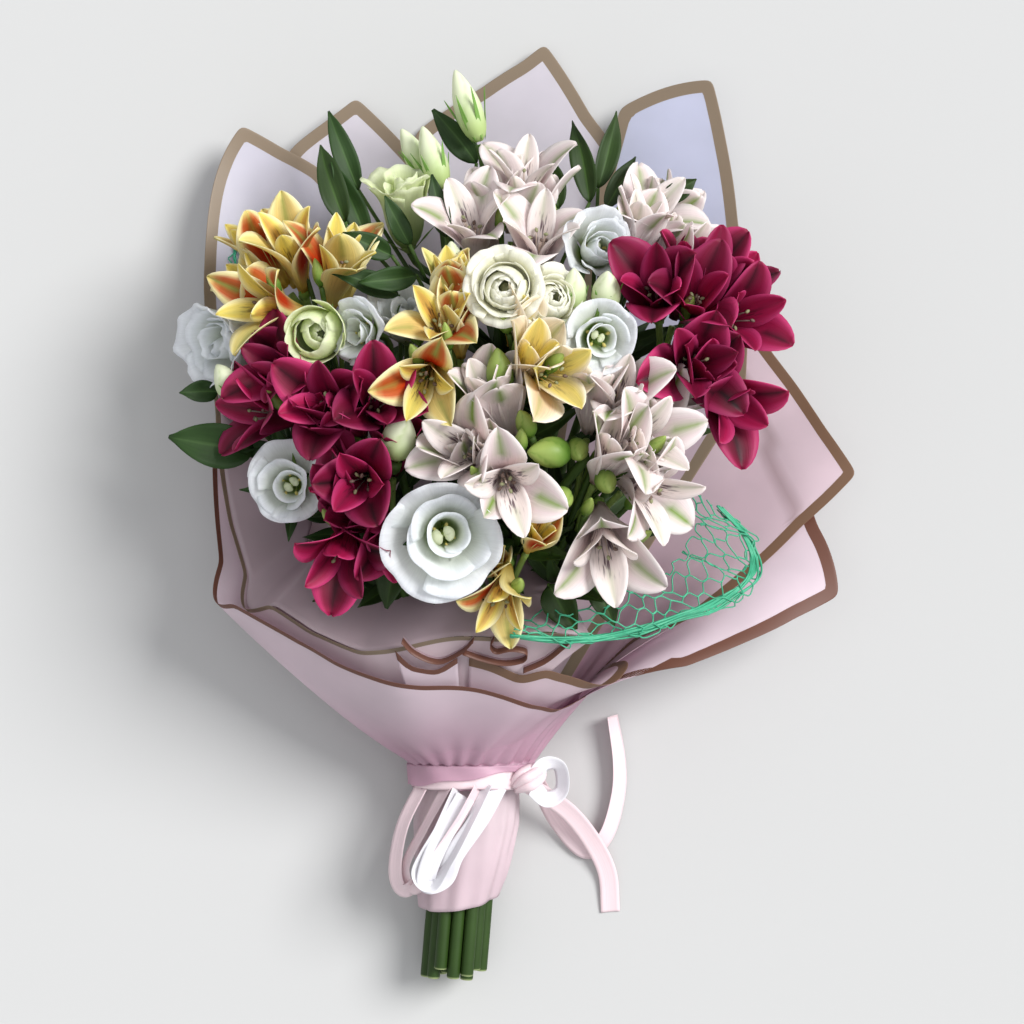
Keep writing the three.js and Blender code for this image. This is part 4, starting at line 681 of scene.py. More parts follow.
STALKS: tuple[StalkSpec, ...] = (
    StalkSpec(
        "yellow_left",
        umbel(
            "yellow_left", (-137, 112, 112, 52, -0.9, 0.1), (-122, 146, 98, 50, -0.3, 1.1),
            (-95, 136, 104, 52, 0.3, 1.2),
        ),
        leaves=((-92, 160, 80, -111, 200, 66, 15),),
    ),
    StalkSpec(
        "yellow_centre", umbel("yellow_centre", (-38, 103, 146, 48, -0.05, 0.5), (-46, 69, 158, 50, -0.1, -0.35)),
        buds=((-5, 62, 150, -8, 86, 162, 15),),
    ),
    StalkSpec("yellow_right", umbel("peach", (23, 72, 158, 54, 0.5, -0.1)), buds=((-2, 95, 148, -5, 104, 157, 8),)),
    StalkSpec("yellow_low", umbel("yellow_low", (-6, -48, 138, 42, -0.2, -1.1))),
    StalkSpec(
        "crimson_left",
        umbel(
            "crimson_left", (-139, 54, 108, 48, -1.8, 0.2), (-127, 77, 118, 48, -0.6, 0.2),
            (-100, 57, 140, 52, -0.3, 0.1), (-71, 60, 148, 50, 0.2, 0.3),
        ),
    ),
    StalkSpec(
        "crimson_low",
        umbel(
            "crimson_low", (-81, 16, 147, 50, -0.1, -0.1), (-92, -24, 138, 50, -0.2, -0.8),
            (-65, -15, 136, 46, 0.3, -0.6),
        ),
        leaves=((-62, -20, 118, -68, -54, 118, 17),),
    ),
    StalkSpec(
        "crimson_right",
        umbel(
            "crimson_right", (77, 121, 130, 52, -0.1, 0.5), (99, 116, 127, 52, 0.1, 0.5),
            (125, 106, 110, 50, 0.6, 0.1), (98, 78, 139, 54, 0.2, 0), (119, 57, 124, 52, 0.5, -0.5),
        ),
    ),
    StalkSpec(
        "white_top",
        umbel("blush_top", (-23, 158, 104, 50, -0.2, 1), (15, 151, 112, 50, 0.1, 1), (6, 186, 84, 52, 0, 1.8)),
        leaves=((43, 171, 76, 38, 217, 64, 13), (26, 168, 74, 20, 200, 70, 12)),
    ),
    StalkSpec(
        "white_upper_right", umbel("blush_upper_right", (76, 166, 86, 50, 0.7, 1.2), (97, 138, 95, 50, 1.4, 0.4)),
        leaves=((48, 180, 66, 61, 222, 52, 12), (52, 168, 76, 69, 196, 66, 11), (84, 172, 78, 103, 184, 78, 11)),
    ),
    StalkSpec(
        "white_centre", umbel("blush_centre", (-26, 32, 158, 52, -0.5, 0.1), (-2, 13, 164, 52, 0.1, -0.3)),
        buds=((31, 31, 150, 8, 31, 162, 17), (10, 40, 148, 4, 53, 162, 11), (24, 10, 146, 30, 3, 160, 12)),
    ),
    StalkSpec(
        "white_right",
        umbel("blush_right", (57, 65, 150, 50, 0.1, 0.6), (70, 38, 154, 52, 0.6, 0.1), (76, 9, 142, 52, 0.9, -0.5)),
        buds=((34, 36, 144, 36, 28, 160, 12), (48, 20, 142, 52, 10, 156, 12)),
    ),
    StalkSpec(
        "white_low", umbel("blush_low", (50, -21, 150, 58, 0.1, -0.8)),
        leaves=((20, -40, 114, 34, -66, 112, 18), (44, -40, 112, 58, -62, 112, 14)),
    ),
    StalkSpec("lisianthus_front", (single("lisianthus_front", Shape.OPEN, -36, -15, 160, 66, 0.05, -0.15),)),
    StalkSpec(
        "lisianthus_low_left", (single("lisianthus_low_left", Shape.OPEN, -121, 14, 125, 46, -0.15, -0.05),),
        leaves=((-92, -20, 98, -100, -44, 104, 13),),
    ),
    StalkSpec(
        "lisianthus_far_left", (single("lisianthus_far_left", Shape.CUP, -168, 90, 92, 54, -1.3, -0.3),),
        buds=((-149, 60, 98, -161, 80, 106, 16),),
        leaves=((-142, 34, 88, -190, 37, 92, 24), (-162, 66, 84, -184, 66, 92, 12)),
    ),
    StalkSpec(
        "lisianthus_mid_left",
        (
            single("lisianthus_mid_left", Shape.OPEN, -85, 97, 138, 38, -0.9, 0.1),
            single("lisianthus_mid_back", Shape.CUP, -59, 113, 110, 42, -0.1, 1.1),
            single("lisianthus_opening", Shape.OPENING, -108, 95, 136, 32, -0.25, -0.1),
        ),
        buds=((-62, 27, 140, -58, 53, 152, 19),), leaves=((-62, 118, 104, -98, 134, 116, 13),),
    ),
    StalkSpec(
        "lisianthus_upper_right", (single("lisianthus_upper_right", Shape.CUP, 49, 147, 120, 42, 0.3, 0.35),),
        buds=((50, 108, 128, 51, 128, 142, 16), (34, 108, 126, 33, 130, 138, 14)),
    ),
    StalkSpec(
        "lisianthus_top", (single("lisianthus_top", Shape.TRUMPET, -64, 184, 76, 40, -0.3, 1.8),),
        buds=(
            (-18, 206, 60, -32, 247, 62, 16), (-38, 178, 76, -50, 214, 74, 15), (-46, 184, 58, -62, 214, 62, 14),
            (-30, 116, 108, -33, 146, 120, 16),
        ),
        leaves=(
            (-86, 180, 56, -105, 224, 52, 13), (-20, 196, 48, -43, 228, 48, 15), (-80, 148, 72, -96, 196, 74, 13),
            (-66, 140, 96, -94, 152, 106, 13), (-52, 128, 110, -84, 120, 122, 13),
            (-56, 146, 96, -72, 172, 104, 11), (-36, 150, 98, -46, 184, 96, 11),
        ),
    ),
    StalkSpec(
        "rose_spray",
        (
            single("rose_cream_left", Shape.ROSE, -4, 119, 158, 42, -0.1, 0.1),
            single("rose_cream_right", Shape.ROSE, 23, 113, 142, 38, 0.5, 0.2),
            single("rose_white", Shape.ROSE, 47, 92, 155, 40, 0.15, -0.1),
        ),
        buds=((27, 94, 140, 28, 101, 152, 9),),
    ),
)


# ---- the bunch as it stands in the hand ----


@dataclass(frozen=True)
class Ring:
    """One ring of a bowl-shaped bloom's petals."""

    petals: int
    length: float
    slopes: tuple[float, float, float]
    ruffle: float


BOWLS: dict[Shape, tuple[Ring, ...]] = {
    Shape.OPEN: (
        Ring(3, 1, (1.25, 0.6, 1.25), 2.6),
        Ring(3, 0.88, (1.15, 0.4, 0.95), 2.2),
        Ring(2, 0.72, (1.05, 0.22, 0.75), 1.4),
    ),
    Shape.CUP: (
        Ring(4, 1, (1.2, 0.35, 1), 2.8),
        Ring(3, 0.92, (1.1, 0.24, 0.5), 2.2),
        Ring(3, 0.84, (1, 0.1, 0.1), 1.6),
        Ring(2, 0.78, (0.9, 0.0, -0.3), 1.0),
    ),
    Shape.TRUMPET: (
        Ring(4, 1, (0.75, 0.08, 1.15), 1.8),
        Ring(3, 0.98, (0.68, 0.04, 0.5), 1.3),
        Ring(3, 0.94, (0.6, 0.02, 0.0), 0.9),
    ),
    Shape.OPENING: (
        Ring(4, 1, (1.2, 0.25, 0.2), 1.4),
        Ring(3, 1.02, (1.2, 0.15, -0.75), 1.2),
        Ring(3, 1.02, (1.1, 0.1, -0.95), 1.0),
        Ring(3, 0.95, (1, 0.0, -0.95), 0.7),
    ),
    Shape.ROSE: (
        Ring(5, 1, (1.35, 0.5, 1.1), 1.6),
        Ring(4, 0.94, (1.35, 0.4, 0.2), 1.4),
        Ring(4, 1.0, (1.35, 0.28, -0.45), 1.2),
        Ring(4, 1.04, (1.3, 0.16, -0.8), 1.0),
        Ring(3, 1.04, (1.2, 0.1, -0.95), 0.9),
        Ring(3, 1.0, (1.1, 0.04, -1.0), 0.8),
        Ring(3, 0.95, (0.9, 0.0, -0.8), 0.6),
    ),
}
CAD_RINGS = {Shape.OPEN: 2, Shape.CUP: 2, Shape.TRUMPET: 2, Shape.OPENING: 2, Shape.ROSE: 3}
FLORET_SLOPES = (0.15, 0.5, 1.15)
FLORET_ROOT, FLORET_FOOT = 3.6, 4.5


@dataclass(frozen=True)
class Bloom:
    """A bloom in its place: its axes, with the base on its stalk, and the length of its petals."""

    spec: BloomSpec
    stalk: int
    frame: Frame
    length: float
    root: float
    middle: Array

    @staticmethod
    def grown(spec: BloomSpec, stalk: int, roll: float) -> "Bloom":
        """Works out a bloom's axes and size from its rim.

        Args:
            spec: the bloom.
            stalk: number of its stalk.
            roll: turn about its axis, in radians.

        Returns:
            The bloom. Petals of length L reach the rim: L = (across / 2 - root) / out(1).
        """
        axes = Frame.along(np.array([*spec.lean, 1.0]), roll)
        at = np.array(spec.at, float)
        if spec.shape is Shape.FLORET:
            out, up = midline(FLORET_SLOPES, np.array([1.0]))
            length = (spec.across / 2 - FLORET_ROOT) / out[0]
            down, root = 0.94 * (FLORET_FOOT + length * up[0]), FLORET_ROOT
        else:
            out, up = midline(BOWLS[spec.shape][0].slopes, np.array([1.0]))
            root = 1.6 + 1.5 * CAD_RINGS[spec.shape]
            length = (spec.across / 2 - root) / out[0]
            down = up[0] * length + 3
        frame_here = Frame(at - down * axes.z, axes.x, axes.y, axes.z)
        return Bloom(spec, stalk, frame_here, length, root, frame_here.base + 0.35 * spec.across * axes.z)


@dataclass
class Strand:
    """A stem, pedicel or bud stalk, as points about 8 mm apart."""

    stalk: int
    owner: int
    is_stem: bool
    points: Array
    radii: tuple[float, float]
    bloom: int = -1
    bud: tuple[float, ...] = ()


def bent(start: Array, leave: Array, end: Array, arrive: Array) -> Array:
    """Points of a cubic Bezier curve whose handles are a share HANDLE of the distance long.

    Args:
        start: first point.
        leave: way at the start.
        end: last point.
        arrive: way at the end.

    Returns:
        (n, 3) points, about STRAND_STEP apart.
    """
    far = float(np.linalg.norm(end - start))
    a, b = start + leave * HANDLE * far, end - arrive * HANDLE * far
    t = np.linspace(0, 1, max(3, round(far / STRAND_STEP)) + 1)[:, None]
    return (1 - t) ** 3 * start + 3 * t * (1 - t) ** 2 * a + 3 * t * t * (1 - t) * b + t**3 * end


class Bunch:
    """All blooms and strands, placed so that the stalks pass one another on their way to the binding."""

    CROWDED = 9.0  # mm between two straight stalks, under which they crowd each other
    SWAPS, PUSHES = 4, 60  # rounds of swapping places in the hand, and of pushing strands apart
    ROOM, MORE_ROOM = 0.3, 1.4  # mm kept between strands, and more of it away from the binding
    LONGEST_PUSH = 3.0  # mm in one round
    BALL = 0.34  # radius of the ball that strands keep out of, as a share of a bloom's width

    def __init__(self) -> None:
        """Places the blooms, deals out the places in the hand and spreads the strands."""
        roll = Draws(7)
        self.blooms = [
            Bloom.grown(spec, number, 2 * math.pi * roll())
            for number, stalk in enumerate(STALKS)
            for spec in stalk.blooms
        ]
        self.hubs = [self._hub(number) for number in range(len(STALKS))]
        self.places = self._dealt_places()
        self.strands = [strand for number in range(len(STALKS)) for strand in self._strands(number)]
        self._spread()
        cut = Draws(11)
        self.cuts = [
            self.on_bundle(place, CUT_ENDS[0] + (CUT_ENDS[1] - CUT_ENDS[0]) * cut()) for place in self.places
        ]

    @staticmethod
    def on_bundle(place: Array, y: float) -> Array:
        """The point of a stalk's straight part at y: TIE + place + RUN (y - TIE_y)."""
        t = y - TIE[1]
        return np.array([TIE[0] + place[0] + RUN[0] * t, y, TIE[2] + place[1] + RUN[2] * t])

    @staticmethod
    def bud_root(bud: Sequence[float]) -> tuple[Array, Array]:
        """A bud's foot and the way it points."""
        start = np.array(bud[:3], float)
        way = unit(np.array(bud[3:6], float) - start)
        return start - way, way

    def of_stalk(self, number: int) -> list[int]:
        """Numbers of a stalk's blooms."""
        return [i for i, bloom in enumerate(self.blooms) if bloom.stalk == number]

    def _hub(self, number: int) -> Array:
        """Where a stalk forks: the mean of its tips, pulled back toward the binding."""
        tips = [self.blooms[i].frame.base for i in self.of_stalk(number)]
        tips += [self.bud_root(bud)[0] for bud in STALKS[number].buds]
        mean = np.mean(tips, axis=0)
        back = TIE - mean
        far = float(np.linalg.norm(back))
        return mean + back / far * min(HUB_BACK, 0.5 * far)

    def _dealt_places(self) -> Array:
        """Places in the hand, (stalks, 2): low ones first, left ones left, then swapped where it gives room."""
        rise = STALK_PITCH * math.sin(math.pi / 3)
        places = np.array(
            [
                ((k - (count - 1) / 2) * STALK_PITCH, (row - (len(ROWS_IN_HAND) - 1) / 2) * rise)
                for row, count in enumerate(ROWS_IN_HAND)
                for k in range(count)
            ]
        )
        hubs = np.array(self.hubs)
        ahead = np.hypot(hubs[:, 0] - TIE[0], hubs[:, 1] - TIE[1])
        order = np.argsort((hubs[:, 2] - TIE[2]) / ahead, kind="stable")
        heading = (hubs[:, 0] - TIE[0]) / (hubs[:, 1] - TIE[1] + 60)
        dealt = np.zeros((len(hubs), 2))
        start = 0
        for count in ROWS_IN_HAND:
            row = sorted(order[start : start + count], key=lambda i: heading[i])
            dealt[row] = places[start : start + len(row)]
            start += count
        t = np.arange(0, 1.0001, 0.05)[None, :, None]

        def crowd(number: int) -> float:
            """How far one straight stalk crowds all others."""
            feet = np.array([self.on_bundle(place, TIE[1]) for place in dealt])[:, None]
            lines = feet * (1 - t) + hubs[:, None] * t
            gaps = np.linalg.norm(lines - lines[number], axis=2)
            gaps[number] = np.inf
            return float((np.maximum(0, self.CROWDED - gaps) ** 2).sum())

        for _ in range(self.SWAPS):
            for one in range(len(hubs)):
                for other in range(one + 1, len(hubs)):
                    before = crowd(one) + crowd(other)
                    dealt[[one, other]] = dealt[[other, one]]
                    if crowd(one) + crowd(other) >= before:
                        dealt[[one, other]] = dealt[[other, one]]
        return dealt

    def _strands(self, number: int) -> list[Strand]:
        """The stem of a stalk, and a strand to each bloom and bud."""
        stalk, hub = STALKS[number], self.hubs[number]
        foot = self.on_bundle(self.places[number], TIE[1])
        leave = unit(RUN)
        mine = self.of_stalk(number)
        if len(mine) == 1 and not stalk.buds and not stalk.is_umbel:
            axes = self.blooms[mine[0]].frame
            points = bent(foot, leave, axes.base - 0.6 * axes.z, axes.z)
            return [Strand(number, number, True, points, (STALK_RADIUS, TOP_RADIUS), mine[0])]
        arrive = unit(hub - foot)
        stem = bent(foot, leave, hub, arrive)
        strands = [Strand(number, number, True, stem, (STALK_RADIUS, FORK_RADIUS))]
        for i in mine:
            axes = self.blooms[i].frame
            start = hub + 2.4 * arrive if stalk.is_umbel else hub
            stop = axes.base + axes.z * (0.4 if stalk.is_umbel else -0.6)
            owner = UMBEL_OWNER + number if stalk.is_umbel else number
            points = bent(start, arrive, stop, axes.z)
            strands.append(Strand(number, owner, False, points, (PEDICEL_RADIUS, TOP_RADIUS), i))
        for bud in stalk.buds:
            end, way = self.bud_root(bud)
            start = stem[-(FIXED_TOP if stalk.is_umbel else 2)]
            points = bent(start, arrive, end, way)
            radii = (BUD_STALK_RADIUS, 0.2 * bud[6])
            strands.append(Strand(number, number, False, points, radii, bud=bud))
        return strands

    def _spread(self) -> None:
        """Pushes strands of different owners apart, keeps them out of the blooms, and smooths them."""
        strands = self.strands
        points = np.vstack([s.points for s in strands])
        counts = [len(s.points) for s in strands]
        index = np.concatenate([np.arange(n) for n in counts])
        size = np.repeat(counts, counts)
        stem = np.repeat([s.is_stem for s in strands], counts)
        owner = np.repeat([s.owner for s in strands], counts)
        stalk = np.repeat([s.stalk for s in strands], counts)
        first = np.repeat([s.radii[0] for s in strands], counts)
        last = np.repeat([s.radii[1] for s in strands], counts)
        radius = first + (last - first) * index / (size - 1)
        ease = np.where(stem, np.minimum(1, index / 6), 0.4)
        free = (index > np.where(stem, 0, 1)) & (index < size - FIXED_TOP)
        middles = np.array([bloom.middle for bloom in self.blooms])
        wide = np.array([self.BALL * bloom.spec.across for bloom in self.blooms])
        of = np.array([bloom.stalk for bloom in self.blooms])
        for _ in range(self.PUSHES):
            gap = points[:, None] - points[None]
            far = np.linalg.norm(gap, axis=2) + 1e-9
            room = radius[:, None] + radius[None] + self.ROOM + self.MORE_ROOM * ease[:, None]
            near = (far < room) & (owner[:, None] != owner[None])
            step = (gap * (0.5 * (room - far) / far * near)[..., None]).sum(1)
            gap = points[:, None] - middles[None]
            far = np.linalg.norm(gap, axis=2) + 1e-9
            room = radius[:, None] + wide[None]
            near = (far < room) & (stalk[:, None] != of[None])
            step += (gap * (0.5 * (room - far) / far * near)[..., None]).sum(1)
            size_of_step = np.linalg.norm(step, axis=1, keepdims=True)
            points[free] += (step / np.maximum(1, size_of_step / self.LONGEST_PUSH))[free]
            mean = (np.roll(points, 1, axis=0) + np.roll(points, -1, axis=0)) / 2
            points[free] += 0.3 * (mean - points)[free]
        at = 0
        for strand, count in zip(strands, counts):
            strand.points = points[at : at + count].copy()
            at += count


# ---- leaves, stems and buds ----


@dataclass(frozen=True)
class LeafStyle:
    """How a kind of leaf is formed and coloured."""

    face: str
    rib: str
    fold: float = 0.2
    droop: float = 0.25
    thickness: float = PETAL


# Stem colours at the foot and at the top. Both are darkened partly as painted shade, and the foot most, for the
# stalks below the binding
STEM_HUES, PEDICEL_HUES = ("#2a4311", "#446024"), ("#6a8638", "#86a050")
DARK_LEAF = LeafStyle("#22380c", "#3d5c1e", fold=0.26)
GREY_LEAF = LeafStyle("#243f14", "#4a6a34", fold=0.18, droop=0.14)
FRESH_LEAF = LeafStyle("#577a2c", "#8a9f55", fold=0.16, droop=0.18)


def add_leaf(shell: Shell, start: Array, way: Array, length: float, width: float, style: LeafStyle,
             draw: Draws, kind: int = 0, up: Array | None = None) -> None:
    """Adds one leaf blade.

    The midrib leaves along way and sinks by droop * length * v^2. The half width is
    0.5 width * 2.05 v^0.65 (1 - v)^0.95, and the halves rise from the rib by fold.

    Args:
        shell: the piece.
        start: root of the blade.
        way: direction it leaves in.
        length: of the blade.
        width: widest part.
        style: its form and colours.
        draw: source of numbers.
        kind: number of the material.
        up: the side that the upper face looks to, or None for the sky.
    """
    z = unit(np.asarray(way, float))
    sky = np.array([0.0, 0, 1]) if up is None else unit(up)
    if abs(float(z @ sky)) > 0.97:
        sky = np.array([0.3, -0.9, 0.3])
    side = unit(np.cross(sky, z))
    normal = np.cross(z, side)
    v = np.linspace(0, 1, 15)[:, None]
    u = np.array([-1, -0.72, -0.4, -0.12, 0, 0.12, 0.4, 0.72, 1])[None]
    half = 0.5 * width * np.maximum(0.06, 2.05 * np.maximum(v, 0) ** 0.65 * (1 - v) ** 0.95)
    twist = draw.between(-0.5, 0.5)
    curl = draw.between(-0.12, 0.12) * length
    roll = (twist * v)[..., None]
    across = side * np.cos(roll) + normal * np.sin(roll)
    over = normal * np.cos(roll) - side * np.sin(roll)
    wave = 0.05 * width * np.sin(9 * v + 6 * draw()) * u
    rise = style.fold * 2 * half * np.abs(u) ** 1.4 + wave
    line = start + z * (length * v)[..., None] + side * (curl * v**2)[..., None]
    line = line - sky * (style.droop * length * v**2)[..., None]
    points = line + across * (half * u)[..., None] + over * rise[..., None]
    shade = draw.between(0.8, 1.25)
    tint = blend(linear(style.face) * shade, linear(style.rib), np.exp(-((u / 0.1) ** 2)) * (1 - 0.6 * v))
    shell.sheet(points, masked(tint), style.thickness, kind=kind)


def add_stem(shell: Shell, points: Array, radii: tuple[float, float], kind: int, sides: int = 10,
             colours: tuple[str, str] = STEM_HUES, cut: Array | None = None) -> None:
    """Adds a smooth rod along a strand, pale on its cut end.

    Args:
        shell: the piece.
        points: the strand's points.
        radii: first and last radius.
        kind: number of the material.
        sides: of the rod.
        colours: at the foot and at the top.
        cut: end of the straight part below the first point, or None.
    """
    path = spline(points, max(6, len(points) * 2))
    reach = np.linspace(radii[0], radii[1], len(path))
    tint = blend(linear(colours[0]), linear(colours[1]), np.linspace(0, 1, len(path)))
    if cut is not None:
        low = cut + (path[0] - cut) * np.array([0, 0.002, 0.01, 0.2, 0.4, 0.6, 0.8])[:, None]
        path = np.vstack([low, path])
        reach = np.concatenate([radii[0] * np.array([0.9, 1.0, 1.03, 1.03, 1, 1.04, 1]), reach])
        pale = np.array([linear("#b3bd8a"), linear("#9aa873")])
        # The darker green next to the cut is partly painted shade on the stalks below the skirt
        foot = blend(linear("#263f0a"), linear(colours[0]), np.linspace(0, 1, 5))
        tint = np.vstack([pale, foot, tint])
    rings = rings_round(path, reach, sides)
    shell.skin(rings, masked(tint)[:, None], kind)


def add_bud(shell: Shell, bud: Sequence[float], is_umbel: bool, draw: Draws, kinds: tuple[int, int]) -> None:
    """Adds a closed bud: rolled petals with a spiral seam, in a calyx of narrow sepals.

    The radius is 0.5 width * sin(pi v^0.75)^0.7, and three seams, which wind by 2.5 v, dip it by 10 %.

    Args:
        shell: the piece.
        bud: foot and tip, and width.
        is_umbel: True for a green bud of an umbel.
        draw: source of numbers.
        kinds: numbers of the bud's and the leaves' material.
    """
    start, tip, width = np.array(bud[:3], float), np.array(bud[3:6], float), bud[6]
    axes = Frame.along(tip - start, 6 * draw(), start)
    length = float(np.linalg.norm(tip - start))
    v = np.linspace(0.02, 0.985, 16)[:, None]
    a = full_turn(20)
    seam = np.exp(-(((a - 2.5 * v - 1) % (2 * math.pi / 3)) ** 2) / 0.05)
    radius = 0.5 * width * np.sin(math.pi * v**0.75) ** 0.7 * (1 - 0.1 * seam)
    points = axes.place(radius, a, v * length)
    if is_umbel:
        low, high = linear("#5f8a2e"), linear("#9db25c")
    else:
        low, high = linear("#b9cf86"), linear("#e9efcf")
    tint = blend(low, high, smooth_step(0.1, 0.8, v) * (1 - 0.5 * seam))
    shell.skin(points, masked(tint), kinds[0])
    count = 3 if is_umbel else 5
    style = FRESH_LEAF if is_umbel else LeafStyle("#6f9a44", "#94b566", fold=0.1, droop=0)
    for k in range(count):
        angle = 2 * math.pi * (k + 0.3 * draw()) / count
        out = axes.place(0.22 * width, angle, 0.02 * length)
        spread_out = 0.32 if not is_umbel else 0.5
        way = axes.z + spread_out * axes.out(angle)
        size = length * (0.62 if not is_umbel else 0.4) * draw.between(0.8, 1.15)
        add_leaf(shell, out, way, size, 0.16 * width + 1.2, style, draw, kinds[1], up=out - axes.base + axes.z * 0.1)


class Stalk:
    """A stalk with its stem, bud stalks, buds and leaves."""

    FOLIAGE = 6
    FILM_AT = -58.0  # no leaf reaches lower in y than this, where the front film stands

    def __init__(self, bunch: Bunch, number: int) -> None:
        """Takes a stalk of the bunch by its number."""
        self.bunch = bunch
        self.number = number
        self.spec = STALKS[number]
        self.shell = Shell()
        self.draw = Draws(300 + number)
        self.strands = [s for s in bunch.strands if s.owner == number]
        self.style = DARK_LEAF if self.spec.is_umbel else GREY_LEAF

    def _listed_leaves(self) -> None:
        """The leaves that show outside the blooms, each on a short petiole from the stem."""
        stem = self.strands[0].points[:-FIXED_TOP]
        for leaf in self.spec.leaves:
            start, tip = np.array(leaf[:3], float), np.array(leaf[3:6], float)
            root = stem[np.argmin(np.linalg.norm(stem - start, axis=1))]
            bow = (root + start) / 2 - np.array([0, 0, 4.0])
            add_stem(self.shell, np.array([root, bow, start]), (1.5, 1.0), 0, 8)
            way = tip - start
            length = float(np.linalg.norm(way))
            lifted = way + np.array([0, 0, self.style.droop * length])
            add_leaf(self.shell, start, lifted, length, leaf[6] * 1.5, self.style, self.draw, 1)

    def _whorl(self) -> None:
        """Leaves in a whorl under the fork, which fill the gaps under the blooms."""
        stem = self.strands[0].points
        top = stem[-2]
        axes = Frame.along(stem[-1] - stem[-3], 6 * self.draw(), top)
        count = 9 if self.spec.is_umbel else 5
        for k in range(count):
            angle = 2 * math.pi * (k + 0.4 * self.draw()) / count
            out = axes.out(angle)
            way = out + axes.z * self.draw.between(0.3, 0.8) + np.array([0, 0, 0.25])
            size = self.draw.between(36, 56) if self.spec.is_umbel else self.draw.between(28, 42)
            if (top + unit(way) * size)[1] > self.FILM_AT:
                add_leaf(self.shell, top + out * 2, way, size, size * 0.3, self.style, self.draw, 1)

    def _foliage(self) -> None:
        """Leaves in turn along the upper half of the stem, lying along it."""
        stem = self.strands[0].points
        for k in range(self.FOLIAGE):
            i = int(len(stem) * (0.45 + 0.1 * k))
            axes = Frame.along(stem[i] - stem[i - 1], 2.4 * k + 6 * self.draw(), stem[i])
            out = axes.out(0.0)
            way = out * 0.8 + axes.z + np.array([0, 0, 0.2])
            size = self.draw.between(32, 50)
            if (stem[i] + unit(way) * size)[1] > self.FILM_AT:
                add_leaf(self.shell, stem[i] + out * 2, way, size, 14, self.style, self.draw, 1)

    def _small_buds(self) -> None:
        """Green buds among the florets of an umbel, on pedicels of their own."""
        blooms = [self.bunch.blooms[i] for i in self.bunch.of_stalk(self.number)]
        hub = self.bunch.hubs[self.number]
        middle = np.mean([bloom.middle for bloom in blooms], 0)
        axis = unit(middle - hub)
        axes = Frame.along(axis, 0.0, middle)
        for k in range(3):
            out = self.draw.between(8, 20)
            base = axes.place(out, 2.1 * k + 1.5 * self.draw(), self.draw.between(0, 8))
            way = unit(base - hub + axis * 10)
            tip = base + way * self.draw.between(15, 20)
            add_stem(self.shell, bent(hub, axis, base, way), (1.1, 1.5), 0, 8)
            add_bud(self.shell, (*base, *tip, self.draw.between(6.5, 8.5)), True, self.draw, (2, 1))

    def build(self, finishes: Finishes) -> Piece:
        """Adds all parts and makes the piece."""
        cut = self.bunch.cuts[self.number]
        for strand in self.strands:
            foot = cut if strand.is_stem else None
            add_stem(self.shell, strand.points, strand.radii, 0, 12 if strand.is_stem else 8, cut=foot)
            if strand.bud:
                add_bud(self.shell, strand.bud, self.spec.is_umbel, self.draw, (2, 1))
        self._listed_leaves()
        self._whorl()
        self._foliage()
        if self.spec.is_umbel:
            self._small_buds()
        materials = [finishes.stem, finishes.leaf, finishes.bud]
        return self.shell.make("stem_" + self.spec.name, "green_stalk", materials, "stalk_" + self.spec.name)


# ---- blooms ----


@dataclass(frozen=True)
class TepalPaint:
    """Colours of an alstroemeria: foot, body, edge, patch near the tip, flame along the rib, and streaks.

    The point is the power of the tip's outline: 0.5 is blunt, 1 is sharp. The breadth is half of a broad
    tepal's width, as a share of the floret's.
    """

    foot: str
    body: str
    edge: str
    tip: str
    flame: str
    flame_share: float
    streaks: float
    inner_body: str
    point: float
    breadth: float


PAINTS: dict[str, TepalPaint] = {
    "yellow": TepalPaint("#e2c04e", "#f4e694", "#faf4cc", "#a3a954", "#cf3d0c", 1.0, 0.7, "#f5e478", 0.8, 0.24),
    "peach": TepalPaint("#ead262", "#fceed2", "#fdf5e4", "#b0b35f", "#f2ba8c", 0.35, 0.4, "#f8e88a", 0.65, 0.28),
    # crimson: the dark foot is partly painted shade in the floret's heart, and the light edge is partly a painted
    # highlight on the margins
    "crimson": TepalPaint("#480619", "#9d1446", "#cc3f7a", "#1c040c", "#5f0625", 0.6, 0.6, "#ae1a50", 0.6, 0.28),
    "blush": TepalPaint("#d2bfb4", "#f8eceb", "#fbf4f2", "#7aa01c", "#e4ccd0", 0.4, 0.9, "#faf0ec", 0.62, 0.26),
}


def umbel_paint(node: str) -> TepalPaint:
    """The paint of an umbel, by the name of its CAD node."""
    return next(paint for name, paint in PAINTS.items() if name in node)


